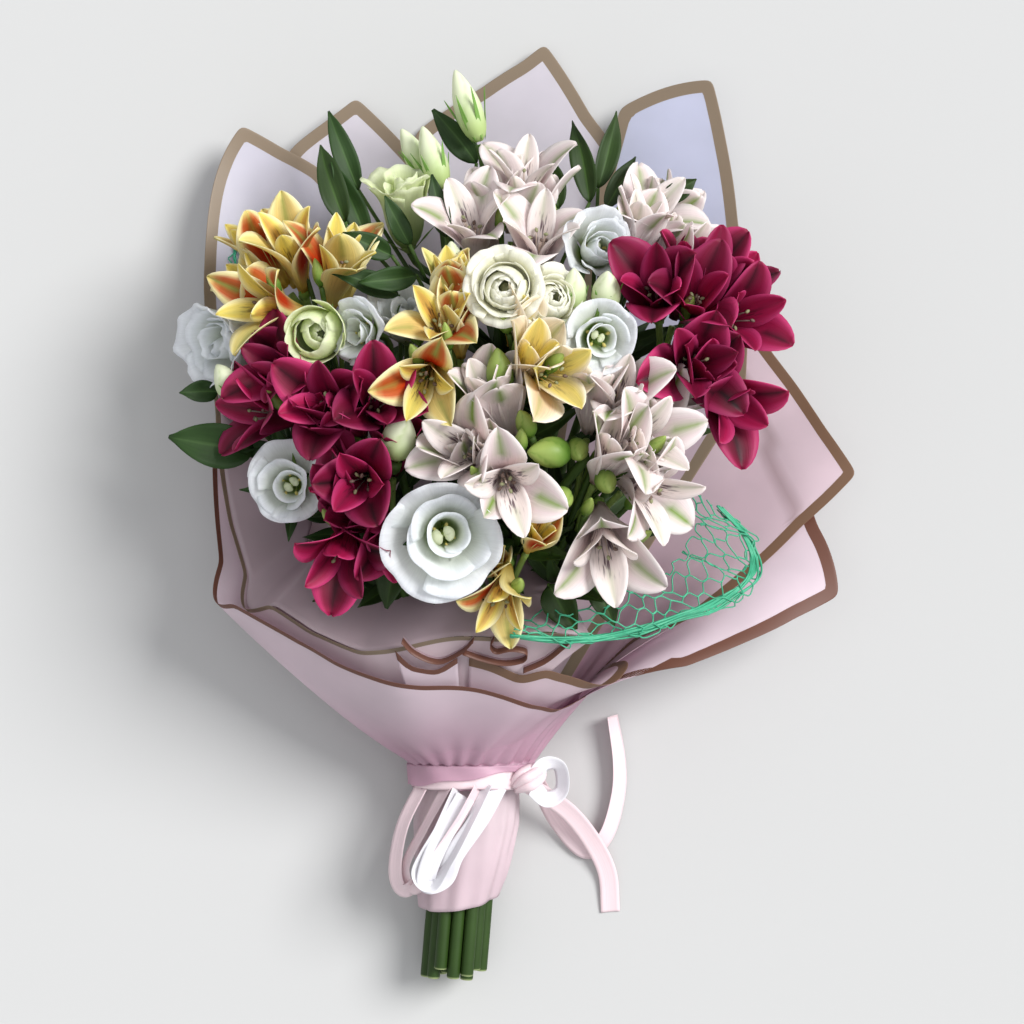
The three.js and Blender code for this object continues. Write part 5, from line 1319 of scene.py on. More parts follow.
class Umbel:
    """The florets of one umbel of alstroemeria, with their pedicels and ovaries."""

    V = 1 - (1 - np.linspace(0, 1, 14)) ** 1.25
    U = np.linspace(-1, 1, 9)
    TRIES = 6  # shapes tried for a tepal, each drawn more upright and shorter than the last
    FLORET_BALL, OTHER_BALL = 0.2, 0.4  # radius of the ball kept clear, as a share of a bloom's width

    def __init__(self, bunch: Bunch, number: int) -> None:
        """Takes the umbel of a stalk by its number."""
        self.bunch = bunch
        self.number = number
        self.node = STALKS[number].blooms[0].node
        self.paint = umbel_paint(self.node)
        self.draw = Draws(500 + number)
        self.shell = Shell()

    def _blade(self, bloom: Bloom, angle: float, bend: float, shrink: float, is_broad: bool, seed: int) -> Array:
        """Points of one tepal.

        Its midline is a parabola of slopes. The half width grows from 0.2 to 1 at 0.64 of the length
        and closes to a point; the cross-section is a shallow u about the blade's own normal.

        Args:
            bloom: the floret.
            angle: where it stands round the axis.
            bend: share of a full bloom's slopes.
            shrink: share of its full length.
            is_broad: True for an outer tepal.
            seed: of its small differences.

        Returns:
            (rows, columns, 3) points.
        """
        draw, axes = Draws(seed), bloom.frame
        v, u = self.V[:, None], self.U[None]
        low, middle, high = FLORET_SLOPES
        if is_broad:
            slopes, half, length = (low, middle * bend, (high + 0.15) * bend), self.paint.breadth, 1.3
        else:
            slopes = (low * 0.6, middle * 0.62 * bend, high * 0.66 * bend)
            half, length = 0.62 * self.paint.breadth, 1.24
        half *= bloom.spec.across * draw.between(0.9, 1.08) * (0.55 + 0.45 * shrink)
        length *= bloom.length * draw.between(0.95, 1.05) * shrink
        out, up = midline(slopes, self.V)
        peak = 0.64 if is_broad else 0.68
        grown = 0.2 + 0.8 * smooth_step(-0.1, peak, v)
        closed = np.maximum(1 - (np.maximum(v - peak, 0) / (1.005 - peak)) ** 1.7, 0) ** self.paint.point
        wide = half * grown * np.maximum(closed, 0.05)
        cup = (0.34 if is_broad else 0.5) * (1 - 0.6 * v)
        wave = 0.07 * half * np.sin(7 * v + 6 * draw()) * np.abs(u) ** 2 * v + 0.04 * half * np.sin(4 * u + 5 * v)
        keel = 0.07 * half * np.exp(-((u / 0.2) ** 2)) * (1 - 0.5 * v)
        bow = cup * wide * u**2 + wave - keel
        slope = np.arctan2(np.gradient(out, self.V), np.gradient(up, self.V))[:, None]
        rise = FLORET_FOOT + up[:, None] * length + bow * np.sin(slope)
        reach = FLORET_ROOT * (0.55 if is_broad else 0.4) + out[:, None] * length - bow * np.cos(slope)
        points = axes.place(reach, angle, rise)
        twist = draw.between(-0.2, 0.2) * v
        sideways = axes.out(angle + math.pi / 2)
        return points + sideways * (wide * u)[..., None] + axes.z * (wide * u * twist)[..., None]

    def _is_clear(self, bloom: Bloom, points: Array) -> bool:
        """True where no point lies inside another bloom, taken as a ball round its middle."""
        others = [other for other in self.bunch.blooms if other.middle is not bloom.middle]
        middles = np.array([other.middle for other in others])
        balls = [self.FLORET_BALL if other.spec.shape is Shape.FLORET else self.OTHER_BALL for other in others]
        rooms = np.array([ball * other.spec.across for ball, other in zip(balls, others)])
        far = np.linalg.norm(points.reshape(-1, 1, 3) - middles[None], axis=2)
        return bool((far > rooms).all())

    def _tepal(self, bloom: Bloom, angle: float, openness: float, is_broad: bool) -> None:
        """Adds one tepal, drawn upright and shortened until it is clear of the other blooms.

        Args:
            bloom: the floret.
            angle: where it stands round the axis.
            openness: share of a full bloom's slopes.
            is_broad: True for an outer tepal.
        """
        draw, paint = self.draw, self.paint
        v, u = self.V[:, None], self.U[None]
        bend, seed = openness * draw.between(0.82, 1.2), int(draw() * 1e6)
        shrink = 1.0
        for _ in range(self.TRIES):
            points = self._blade(bloom, angle, bend, shrink, is_broad, seed)
            if self._is_clear(bloom, points):
                break
            bend, shrink = bend * 0.88, shrink * 0.95
        body = linear(paint.body if is_broad else paint.inner_body)
        # The edge colour here and the foot colour below are the tepal's own, except for crimson, where they also
        # carry a painted highlight and painted shade
        tint = blend(body, linear(paint.edge), smooth_step(0.5, 1, np.abs(u)) * smooth_step(0.2, 0.7, v))
        flame = (1 - smooth_step(0.4, 0.72, np.abs(u) / (1 if is_broad else 0.5))) * smooth_step(0.05, 0.4, v)
        flame = flame * (1 - smooth_step(0.85, 1, v)) * paint.flame_share * (1 if is_broad else 0.45)
        strength = 1.1 if draw() < 0.55 else draw.between(0.0, 0.3)
        tint = blend(tint, linear(paint.flame), np.minimum(flame * strength, 1))
        tint = blend(linear(paint.foot), tint, smooth_step(0.0, 0.32, v) + 0 * u)
        patch = smooth_step(0.58, 0.7, v) * (1 - 0.6 * smooth_step(0.9, 1, v)) * np.exp(-((u / 0.24) ** 4))
        tint = blend(tint, linear(paint.tip), patch * (draw.between(0.6, 1) if is_broad else 0.3))
        # Each crimson tepal's tone differs at random, and the darker draws also serve as painted shade among the
        # overlapping florets
        shade = draw.between(0.55, 1.3) if "crimson" in self.node else draw.between(0.92, 1.04)
        lines = smooth_step(0.2, 0.35, v) * (1 - smooth_step(0.6, 0.8, v)) * (1 - smooth_step(0.5, 0.9, np.abs(u)))
        streaks = paint.streaks * lines * (0.12 if is_broad else 1.0)
        self.shell.sheet(points, masked(tint * shade, streaks), PETAL)

    def _heart(self, bloom: Bloom) -> None:
        """Adds the ovary under the tepals, and six stamens and the style within them."""
        axes, draw = bloom.frame, self.draw
        v = np.linspace(0.02, 0.98, 8)[:, None]
        a = full_turn(18)
        radius = 3.5 * np.sin(math.pi * (0.12 + 0.72 * v)) * (1 + 0.07 * np.cos(6 * a))
        green = linear("#6d8f3a")
        self.shell.skin(axes.place(radius, a, -1.5 + 8.0 * v), np.append(green, 0), 1)
        pale = blend(linear(self.paint.foot), linear("#f1e6d8"), np.array(0.35))
        for k in range(7):
            angle = k * 2 * math.pi / 6 + 0.4 * draw()
            tall = bloom.length * draw.between(0.55, 0.8)
            lean = draw.between(1.5, 5.5) if k < 6 else 0.8
            t = np.linspace(0, 1, 7)
            path = axes.place(1.2 + lean * t**2, angle, FLORET_FOOT + tall * t)
            self.shell.tube(path, np.full(7, 0.42), np.append(pale, 0), 6, 0)
            if k < 6:
                ends = np.array([1.2 + lean - 1.2, 1.2 + lean + 1.4])
                end = axes.place(ends, angle, FLORET_FOOT + tall + np.array([0, 0.8]))
                grain = solid("#8d8f6a" if k % 2 else "#6d5a50")
                self.shell.tube(spline(end, 5), np.array([0.5, 0.95, 1.0, 0.9, 0.4]), grain, 6, 1)

    def _half_open(self) -> None:
        """Adds younger florets, still closed to a trumpet, between the open ones."""
        mine = [self.bunch.blooms[i] for i in self.bunch.of_stalk(self.number)]
        hub = self.bunch.hubs[self.number]
        count = 4 if len(mine) > 1 else 2
        for k in range(count):
            first, second = mine[k % len(mine)], mine[(k + 1) % len(mine)]
            turn = 2 * math.pi * self.draw()
            aside = 13 * (math.cos(turn) * first.frame.x + math.sin(turn) * first.frame.y)
            base = (first.frame.base + second.frame.base) / 2 + aside + first.frame.z * 3
            axes = Frame.along(base - hub + first.frame.z * 20, turn, base)
            young = Bloom(first.spec, self.number, axes, first.length * 0.85, first.root, first.middle)
            for j in range(6):
                self._tepal(young, j * math.pi / 3, 0.5, j % 2 == 0)
            path = bent(hub, unit(base - hub), base, axes.z)
            add_stem(self.shell, path, (1.2, 1.9), 1, 8, PEDICEL_HUES)

    def build(self, finishes: Finishes) -> Piece:
        """Adds every floret and makes the piece."""
        for i in self.bunch.of_stalk(self.number):
            bloom = self.bunch.blooms[i]
            openness = self.draw.between(0.8, 1.15)
            for k in range(6):
                self._tepal(bloom, k * math.pi / 3 + self.draw.between(-0.1, 0.1), openness, k % 2 == 0)
            self._heart(bloom)
        self._half_open()
        for strand in self.bunch.strands:
            if strand.owner == UMBEL_OWNER + self.number:
                add_stem(self.shell, strand.points, strand.radii, 1, 8, PEDICEL_HUES)
        petal = finishes.blush if "blush" in self.node else finishes.alstroemeria
        slot = next(s for s in ("crimson", "yellow", "peach", "blush") if s in self.node) + "_petal"
        name = "florets_" + self.node.removeprefix("alstroemeria_")
        return self.shell.make(name, slot, [petal, finishes.stem], self.node)


@dataclass(frozen=True)
class BowlPaint:
    """Colours of a bowl-shaped bloom: throat, body, edge, and how far up the throat's colour reaches."""

    throat: str
    body: str
    edge: str
    throat_to: float
    slot: str


HOLLOW = {"rose_white": Shape.OPEN}  # blooms whose petals stand open round a visible heart
WHITE = BowlPaint("#9cb84a", "#f7f9f6", "#f8fafd", 0.38, "white_petal")
CREAM = BowlPaint("#e4eab2", "#fbfae8", "#fdfcf2", 0.45, "cream_petal")
MINT = BowlPaint("#b5d27e", "#eaf2c6", "#f6fae0", 0.55, "mint_petal")


def bowl_paint(node: str) -> BowlPaint:
    """The paint of a bowl-shaped bloom, by the name of its CAD node."""
    if node in ("lisianthus_opening", "lisianthus_top"):
        return MINT
    return CREAM if "cream" in node else WHITE


class Bowl:
    """A lisianthus or a rose: rings of broad petals, each lapping over the next, round a heart."""

    COLUMNS = 25
    ROWS = 13

    def __init__(self, bloom: Bloom, number: int) -> None:
        """Takes a bloom and its number among all."""
        self.bloom = bloom
        self.paint = bowl_paint(bloom.spec.node)
        self.draw = Draws(700 + number)
        self.shell = Shell()
        self.shape = HOLLOW.get(bloom.spec.node, bloom.spec.shape)
        self.is_rose = self.shape is Shape.ROSE

    def _petal(self, ring: Ring, axes: Frame, level: int, of: int, k: int, turn: float) -> None:
        """Adds one petal as a strip of the ring's bowl.

        At u across and v along, the angle is angle + 1.3 share u w(v), the radius root + out(v L) + curl,
        and the height foot + up(v L) + ruffle v^3 sin(...) + tuck u, so that neighbours lap in turn.

        Args:
            ring: the ring it belongs to.
            axes: the ring's own axes, a little tilted.
            level: number of the ring, 0 outside.
            of: how many rings there are.
            k: number of the petal in the ring.
            turn: of the whole ring.
        """
        draw, bloom = self.draw, self.bloom
        share = math.pi / ring.petals
        angle = 2 * k * share + turn + draw.between(-0.16, 0.16)
        length = bloom.length * ring.length * draw.between(0.92, 1.05)
        root = max(1.0, bloom.root - 1.5 * level * 3 / of)
        s = np.linspace(0, 1, self.ROWS)[:, None]
        u = np.linspace(-1, 1, self.COLUMNS)[None]
        notch = draw.between(0.0, 0.05)
        v = s * (1 - 0.1 * np.abs(u) ** 3 - notch * np.exp(-((u / 0.15) ** 2)))
        slopes = tuple(x + draw.between(-0.12, 0.12) for x in ring.slopes)
        out, up = midline(slopes, v)
        lap = 1.3
        wide = (0.62 + 0.38 * smooth_step(0, 0.6, v)) * share * lap
        phase = 6 * draw()
        frill = ring.ruffle * v**3 * (
            np.sin(4 * u + phase) + 0.5 * np.sin(9 * u + 2 * phase + 2 * v) + 0.25 * np.sin(17 * u + phase)
        )
        tuck = (1.1 if self.is_rose else 0.9) * u * smooth_step(0.05, 0.5, v)
        curl = 0.07 * length * np.maximum(v - 0.78, 0) / 0.22 * (1 if self.is_rose and level < 3 else 0)
        heading = angle + u * wide
        reach = root + out * length + 0.5 * tuck + curl
        rise = 3 + up * length + frill + tuck - 1.3 * curl
        points = axes.place(reach, heading, rise)
        paint = self.paint
        deep = level / max(1, of - 1)
        body = blend(linear(paint.body), linear(paint.throat), np.array(0.25 * deep if self.is_rose else 0.1 * deep))
        tint = blend(body, linear(paint.edge), smooth_step(0.6, 1, v))
        throat_to = paint.throat_to * (1 + (0 if self.is_rose else 0.7 * deep))
        tint = blend(linear(paint.throat), tint, smooth_step(0.0, throat_to, v))
        tint = tint * draw.between(0.96, 1.02)
        self.shell.sheet(points, masked(tint), PETAL)

    def _heart(self, depth: float) -> None:
        """Adds what stands in the middle: a rolled bud for a rose, or stigma and stamens."""
        axes, draw, length = self.bloom.frame, self.draw, self.bloom.length
        if self.is_rose:
            v = np.linspace(0.02, 0.98, 10)[:, None]
            a = full_turn(24)
            radius = 3.6 * np.sin(math.pi * (0.25 + 0.55 * v)) * (1 + 0.12 * np.cos(3 * a + 5 * v))
            tint = np.append(blend(linear(self.paint.throat), linear(self.paint.body), np.array(0.3)), 0)
            self.shell.skin(axes.place(radius, a, 3 + depth * length * 0.42 * v), tint)
            return
        green = solid("#b7c878")
        tall = depth * length * 0.55
        t = np.linspace(0, 1, 6)
        self.shell.tube(axes.place(0.0 * t, 0.0, 2 + tall * t), 1.9 - 0.7 * t, green, 10)
        size = self.bloom.spec.across / 50
        for side in (0.0, math.pi):
            arc = side + np.linspace(-1.15, 1.15, 9)
            lobe = axes.place(2.5 * size, arc, 2 + tall + 0.5 * np.cos(3 * arc))
            self.shell.tube(lobe, 2.5 * size * np.sin(np.linspace(0.45, 2.7, 9)), solid("#f1f5da"), 12)
        for k in range(5):
            angle = 2 * math.pi * (k + 0.3 * draw()) / 5
            path = axes.place(2.2 + 3.5 * t**1.5, angle, 3 + tall * 0.8 * t)
            self.shell.tube(path, np.full(6, 0.45), green, 6)
            head = axes.place(5.7 + np.array([-1.2, 1.2]), angle, 3 + tall * 0.8 + np.array([0.6, 0.2]))
            self.shell.tube(spline(head, 5), 0.95 * np.sin(np.linspace(0.5, 2.6, 5)), solid("#e6d98c"), 8)

    def _calyx(self) -> None:
        """Adds the green cup and the narrow sepals under the bloom."""
        axes, draw = self.bloom.frame, self.draw
        v = np.linspace(0, 1, 6)[:, None]
        a = full_turn(16)
        green = solid("#7f9c52")
        self.shell.skin(axes.place(2.0 + (self.bloom.root - 1.6) * v**0.7, a, -1.6 + 5 * v), green, 1)
        for k in range(5):
            angle = 2 * math.pi * (k + 0.2 * draw()) / 5
            start = axes.place(self.bloom.root * 0.8, angle, 0.5)
            way = axes.out(angle) + axes.z * (0.7 if self.is_rose else 1.0)
            style = LeafStyle("#6c8a42", "#8fa860", fold=0.1, droop=0)
            add_leaf(self.shell, start, way, 15 if self.is_rose else 19, 3.6, style, draw, 1, up=axes.z)

    def build(self, finishes: Finishes) -> Piece:
        """Adds rings, heart and calyx and makes the piece."""
        rings = BOWLS[self.shape]
        turn = 6 * self.draw()
        straight = self.bloom.frame
        for level, ring in enumerate(rings):
            tilt = (0.1 if self.is_rose else 0.17) * (1 if level else 0.4)
            way = straight.z + tilt * (self.draw.between(-1, 1) * straight.x + self.draw.between(-1, 1) * straight.y)
            axes = Frame.along(way, 0.0, straight.base)
            for k in range(ring.petals):
                self._petal(ring, axes, level, len(rings), k, turn + 2.4 * level)
        self._heart(float(midline(rings[-1].slopes, np.array([1.0]))[1][0]) * rings[-1].length)
        self._calyx()
        node = self.bloom.spec.node
        petal = finishes.rose if self.is_rose else finishes.lisianthus
        return self.shell.make("bloom_" + node, self.paint.slot, [petal, finishes.leaf], node)


# ---- wrapping film ----

# One row every 15 degrees round the binding, from straight below: the ray's point halfway and its far end.
RAYS = np.array(
    [
        (-9, 88, -4, 5, 320, 14), (20, 84, -4, 55, 310, 16), (48, 72, -3, 100, 285, 20), (70, 50, -1, 140, 240, 22),
        (85, 20, 2, 168, 180, 22), (94, -15, 9, 190, 120, 24), (92, -50, 24, 212, 60, 32),
        (84, -72, 44, 220, -5, 38), (70, -87, 66, 198, -60, 42), (50, -99, 78, 135, -92, 66),
        (30, -107, 85, 86, -96, 96), (11, -111, 90, 46, -89, 114), (-9, -112, 92, 5, -76, 126),
        (-32, -112, 90, -35, -72, 125), (-59, -116, 82, -76, -72, 117), (-82, -116, 68, -116, -68, 105),
        (-102, -110, 51, -162, -52, 80), (-113, -83, 37, -184, 15, 60), (-118, -40, 25, -198, 88, 44),
        (-120, 0, 14, -202, 165, 32), (-113, 40, 5, -188, 230, 25), (-95, 62, 0, -150, 265, 20),
        (-70, 74, -3, -105, 285, 16), (-40, 84, -4, -50, 310, 14),
    ],
    float,
)


@dataclass(frozen=True)
class FilmSpec:
    """A sheet of film: its layer counted inward, the turns searched for its rim, and the rim in plan."""

    name: str
    layer: float
    turns: tuple[float, float]
    rim: tuple[tuple[float, float], ...]
    band: str = "back"
    hue: str = "#e6e1e8"
    root_hue: str = "#d3b3c4"
    low_hue: str = ""


FILMS = (
    FilmSpec(
        "wrap_front", 0, (-12, 205),
        (
            (150, 55), (173, -8), (184, -48), (160, -60), (130, -74), (95, -87), (51, -95), (28, -101), (7, -105),
            (-21, -97), (-48, -94), (-76, -89), (-97, -84), (-117, -74), (-154, -52), (-163, -28), (-169, 32),
            (-158, 80),
        ),
        "front", "#ebdde4", "#deb9cb",
    ),
    FilmSpec("wrap_back", 0, (-90, 20), ((92, 151), (74, 185), (45, 229), (19, 269), (6, 259))),
    FilmSpec(
        "wrap_left", 2, (60, 255),
        (
            (48, -68), (20, -72), (-6, -74), (-30, -73), (-56, -77), (-86, -82), (-115, -75), (-138, -60),
            (-155, -38), (-164, -10), (-169, 20), (-172, 57), (-177, 91), (-180, 126), (-178, 160), (-170, 196),
            (-156, 221), (-132, 208), (-111, 197), (-93, 176),
        ),
        "back", "#dcd9e3", "#c39aac", "#eedde2",
    ),
    FilmSpec(
        "wrap_back_left", 1, (205, 268),
        ((-144, 179), (-127, 209), (-108, 224), (-90, 238), (-64, 213), (-41, 185)),
    ),
    FilmSpec(
        "wrap_back_right", 2, (-88, 0),
        ((51, 188), (63, 232), (85, 242), (116, 247), (124, 212), (131, 166), (137, 115), (135, 64)), "back",
        "#d9dbec", "#c4a4b8", "#e3cfd8",
    ),
    FilmSpec(
        "wrap_right", 1.6, (-40, 112),
        (
            (120, 140), (138, 108), (151, 90), (164, 72), (180, 46), (196, 20), (181, 4), (165, -11), (134, -41),
            (104, -64), (70, -76), (35, -80), (20, -92), (5, -95), (-10, -88), (-24, -84),
        ),
        "right", "#eddbe2", "#c79fb2",
    ),
    FilmSpec(
        "wrap_fold", 1, (102, 135), ((-30, -82), (-41, -89), (-55, -86), (-64, -77)), "front", "#ebdde4", "#deb9cb",
    ),
)
BACK_LEFT_RIM = ((-18, 244), (-55, 219), (-68, 179))


class Cone:
    """The surface that all sheets of film follow, from the binding out to their rims."""

    PULL = 0.3  # mm of error taken for each degree of turn saved between neighbours

    @staticmethod
    def ray(turn: Array) -> tuple[Array, Array, Array]:
        """Root, halfway point and far end of the ray at each turn in degrees.

        Between the listed rays they follow the periodic Catmull-Rom cubic.
        """
        at = (np.asarray(turn, float) + 90) / 15
        i = np.floor(at).astype(int)
        f = (at - i)[..., None]
        row = cubic(*(RAYS[(i + k) % len(RAYS)] for k in (-1, 0, 1, 2)), f)
        angle = np.radians(turn)
        root = stacked(TIE[0] + ROOT_WIDE * np.cos(angle), ROOT_Y, TIE[2] + ROOT_TALL * np.sin(angle))
        return root, row[..., :3], row[..., 3:]

    @classmethod
    def surface(cls, turn: Array, t: Array) -> Array:
        """The outermost film: the parabola through root, half and far. t from -1 to 0 is the sleeve."""
        turn, t = np.broadcast_arrays(np.asarray(turn, float), np.asarray(t, float))
        root, half, far = cls.ray(turn)
        s = np.maximum(t, 0)[..., None]
        points = (1 - s) * (1 - 2 * s) * root + 4 * s * (1 - s) * half + s * (2 * s - 1) * far
        points[..., 1] += (SLEEVE_Y - ROOT_Y) * np.maximum(-t, 0)
        points[..., 2] = np.maximum(points[..., 2], FILM / 2)
        return points

    @classmethod
    def folds(cls, turn: Array, t: Array, height: Array) -> Array:
        """How far the film stands in or out, in mm: pleats at the binding, long soft waves further out.

        Pleats are 0.95 e^(-(t/0.2)^2) sin(27 a + 2 sin 3a); ribs and waves follow, and all die out near the floor.
        """
        a = np.radians(turn)
        s = np.maximum(t, 0)
        pleats = 0.95 * np.exp(-((s / 0.2) ** 2)) * np.sin(27 * a + 2 * np.sin(3 * a))
        ribs = 0.9 * smooth_step(0.02, 0.2, s) * np.exp(-((s / 0.55) ** 2)) * np.sin(13 * a + 1.4 * np.sin(5 * a) + s)
        waves = smooth_step(0.15, 0.9, s) * (2.0 * np.sin(6 * a + 2.2 * s + 0.7) + 1.1 * np.sin(11 * a - 3 * s))
        return (pleats + ribs + waves) * smooth_step(2, 22, height)

    @classmethod
    def layer(cls, depth: float, turn: Array, t: Array) -> Array:
        """The surface moved inward by depth * (1.5 to 4.6 mm) along its normal, with the folds."""
        turn, t = np.broadcast_arrays(np.asarray(turn, float), np.asarray(t, float))
        points = cls.surface(turn, t)
        step = np.maximum(t, 0.02)
        across = cls.surface(turn + 1, step) - cls.surface(turn - 1, step)
        along = cls.surface(turn, step + 0.02) - cls.surface(turn, step - 0.015)
        inward = np.cross(across, along)
        inward[..., 1] = np.where(t <= 0, 0, inward[..., 1])
        inward = unit(inward)
        offset = depth * (LAYER_AT_ROOT + (LAYER_AT_RIM - LAYER_AT_ROOT) * np.maximum(t, 0))
        offset = offset - cls.folds(turn, t, points[..., 2])
        return points + inward * offset[..., None]

    @classmethod
    def find(cls, plan: Array, turns: tuple[float, float]) -> tuple[Array, Array]:
        """The turn and t at which the surface, seen from above, passes through each point of a plan.

        Args:
            plan: (n, 2) points.
            turns: lowest and highest turn to search.

        Returns:
            Turns and fractions: the nearest of a coarse grid that lies near the last one, refined in ever
            smaller steps.
        """
        coarse = np.arange(turns[0], turns[1] + 1, 2), np.arange(0.3, 1.1, 0.02)
        grid_turn, grid_t = np.meshgrid(*coarse, indexing="ij")
        flat = cls.surface(grid_turn, grid_t)[..., :2].reshape(-1, 2)
        best: list[int] = []
        for point in plan:
            cost = np.linalg.norm(flat - point, axis=1)
            if best:
                cost = cost + cls.PULL * np.abs(grid_turn.ravel() - grid_turn.ravel()[best[-1]])
            best.append(int(np.argmin(cost)))
        turn, t = grid_turn.ravel()[best], grid_t.ravel()[best]
        moves = np.array([(a, b) for a in (-1, 0, 1) for b in (-1, 0, 1)], float)
        for size in 2.0 ** -np.arange(0, 6):
            for _ in range(4):
                tries_turn = turn[:, None] + moves[:, 0] * size
                tries_t = t[:, None] + moves[:, 1] * 0.01 * size
                off = np.linalg.norm(cls.surface(tries_turn, tries_t)[..., :2] - plan[:, None], axis=2)
                pick = np.argmin(off, axis=1)
                row = np.arange(len(plan))
                turn, t = tries_turn[row, pick], tries_t[row, pick]
        return turn, t


class FilmSheet:
    """One sheet of film, from the sleeve in the binding to its rim."""

    ROWS = 44
    STEP = 2.2

    def __init__(self, spec: FilmSpec) -> None:
        """Finds the rim's places on the cone."""
        self.spec = spec
        turn, t = Cone.find(np.array(spec.rim, float), spec.turns)
        if spec.name == "wrap_back":
            left_turn, left_t = Cone.find(np.array(BACK_LEFT_RIM, float), (235, 270))
            turn, t = np.concatenate([turn, left_turn - 360]), np.concatenate([t, left_t])
        self.turn, self.t = self._evened(turn, t)

    def _evened(self, turn: Array, t: Array) -> tuple[Array, Array]:
        """The rim's places at even steps along it, with the corners slightly rounded."""
        fine = np.linspace(0, len(turn) - 1, 40 * (len(turn) - 1) + 1)
        turn = np.interp(fine, np.arange(len(turn)), turn)
        t = np.interp(fine, np.arange(len(t)), t)
        line = Cone.surface(turn, t)
        along = np.concatenate([[0], np.cumsum(np.linalg.norm(np.diff(line, axis=0), axis=1))])
        count = max(12, int(along[-1] / self.STEP))
        even = np.linspace(0, along[-1], count)
        turn, t = np.interp(even, along, turn), np.interp(even, along, t)
        for _ in range(3):
            turn[1:-1] = (turn[:-2] + 2 * turn[1:-1] + turn[2:]) / 4
            t[1:-1] = (t[:-2] + 2 * t[1:-1] + t[2:]) / 4
        return turn, t

    @staticmethod
    def _to_sheet_below(points: Array) -> Array:
        """Distance in plan to the edge of the sheet below, along which a darker line is painted as if that edge
        showed faintly through this one.
        """
        line = spline(np.array([(133, 78, 0), (146, 40, 0), (158, 2, 0), (167, -28, 0)], float), 80)[:, :2]
        return np.linalg.norm(points[..., None, :2] - line, axis=-1).min(-1)

    def build(self, finishes: Finishes) -> Piece:
        """Makes the sheet's grid with its tint and the distance of every point from the rim."""
        s = 0.5 - 0.5 * np.cos(math.pi * np.linspace(0, 1, self.ROWS))
        t = np.vstack([np.full((1, len(self.t)), -1), np.full((1, len(self.t)), -0.5), s[:, None] * self.t])
        points = Cone.layer(self.spec.layer, self.turn, t)
        off = np.full(points.shape[:2], 1e3)
        near = self.ROWS // 3
        off[-near:] = np.linalg.norm(points[-near:, :, None] - points[-1][None, None], axis=3).min(2)
        root, far = linear(self.spec.root_hue), linear(self.spec.hue)
        reach = smooth_step(0.0, 0.75, np.maximum(t, 0))
        tint = blend(root, far, reach)
        shell = Shell()
        if self.spec.low_hue:
            tint = blend(linear(self.spec.low_hue), tint, smooth_step(20, 130, points[..., 1]))
        if self.spec.name == "wrap_right":
            # Painted shade: a darker line where the edge of the sheet below would show through this film
            tint = blend(tint, linear("#b09498"), 0.5 * (1 - smooth_step(2.6, 4.2, self._to_sheet_below(points))))
        if self.spec.name == "wrap_back_right":
            for side in (points[:, 0], points[:, -1]):
                off = np.minimum(off, np.linalg.norm(points[:, :, None] - side[None, None], axis=3).min(2))
        if self.spec.name == "wrap_front":
            off = off * (0.45 + 0.55 * smooth_step(25, 60, self.turn))
        if self.spec.name == "wrap_left":
            off = off * (1 + 1.6 * (1 - smooth_step(165, 192, self.turn)))
        shell.sheet(points, masked(tint, np.minimum(off / 100, 1)), SHEER)
        films = {"back": finishes.back_film, "right": finishes.right_film, "front": finishes.front_film}
        film = films[self.spec.band]
        return shell.make("film_" + self.spec.name.removeprefix("wrap_"), "frosted_film", [film], self.spec.name)


class Lining:
    """The turned-in margin of the left sheet, which lies between the flowers and the outer film."""

    WIDTH = 46.0
    FROM, TO = 62, 186  # turns between which the margin is folded in
    TOWARD = np.array([-25.0, 70.0, 0.0])  # the middle of the flowers, in plan

    def build(self, finishes: Finishes) -> Piece:
        """Makes it: from just inside the rim it runs in and down in soft waves."""
        outer = FilmSheet(FILMS[2])
        pick = (outer.turn > self.FROM) & (outer.turn < self.TO)
        turn, t = outer.turn[pick], outer.t[pick] * 0.985
        start = Cone.layer(2.5, turn, t)
        inward = unit(self.TOWARD - start * np.array([1, 1, 0]))
        s = np.linspace(0, 1, 16)[:, None]
        ease = smooth_step(60, 85, turn) * (1 - smooth_step(168, self.TO, turn))
        wave = 2.2 * np.sin(0.16 * turn + 2 * s) * np.sin(math.pi * s)
        drop = (6 + 26 * smooth_step(40, 110, start[:, 2])) * s**0.8 + wave
        points = start + inward * (ease * self.WIDTH * s)[..., None]
        points[..., 2] = np.maximum(points[..., 2] - drop * (0.3 + 0.7 * ease), 2.5)
        # Painted shade: the film darkens from the rim inward, where it lies under the flowers
        tint = blend(linear("#dccad0"), linear("#a38994"), s + 0 * turn)
        shell = Shell()
        shell.sheet(points, masked(tint, 1.0), SHEER)
        return shell.make("film_turned_in", "frosted_film", [finishes.skirt_film])


class Ruffles:
    """Small copper-edged curls of film that stand on the left sheet above the front fold."""

    LINES = (
        ((-60, -72), (-53, -79), (-40, -84), (-28, -79), (-21, -72)),
        (
            (-27, -79), (-16, -83), (-4, -85.5), (6.5, -83.5), (7.6, -79), (-0.5, -77), (-8.7, -78.5), (-12, -75),
            (-10, -71),
        ),
        ((6, -90), (18, -85), (27, -78), (31, -74)),
    )

    def build(self, finishes: Finishes) -> Piece:
        """Makes each curl: a strip some 5 mm high that stands on the sheet along its line."""
        shell = Shell()
        for line in self.LINES:
            plan = spline(np.array([(x, y, 0.0) for x, y in line]), 40)[:, :2]
            turn, t = Cone.find(plan, (50, 145))
            points = np.stack([Cone.layer(depth, turn, t) for depth in (0.5, 1.2, 1.95)], 0)
            off = np.array([0.0, 0.012, 0.05])[:, None] + 0 * turn
            shell.sheet(points, masked(linear("#dcc6cd") + 0 * points, off), SHEER)
        return shell.make("film_ruffles", "frosted_film", [finishes.front_film])


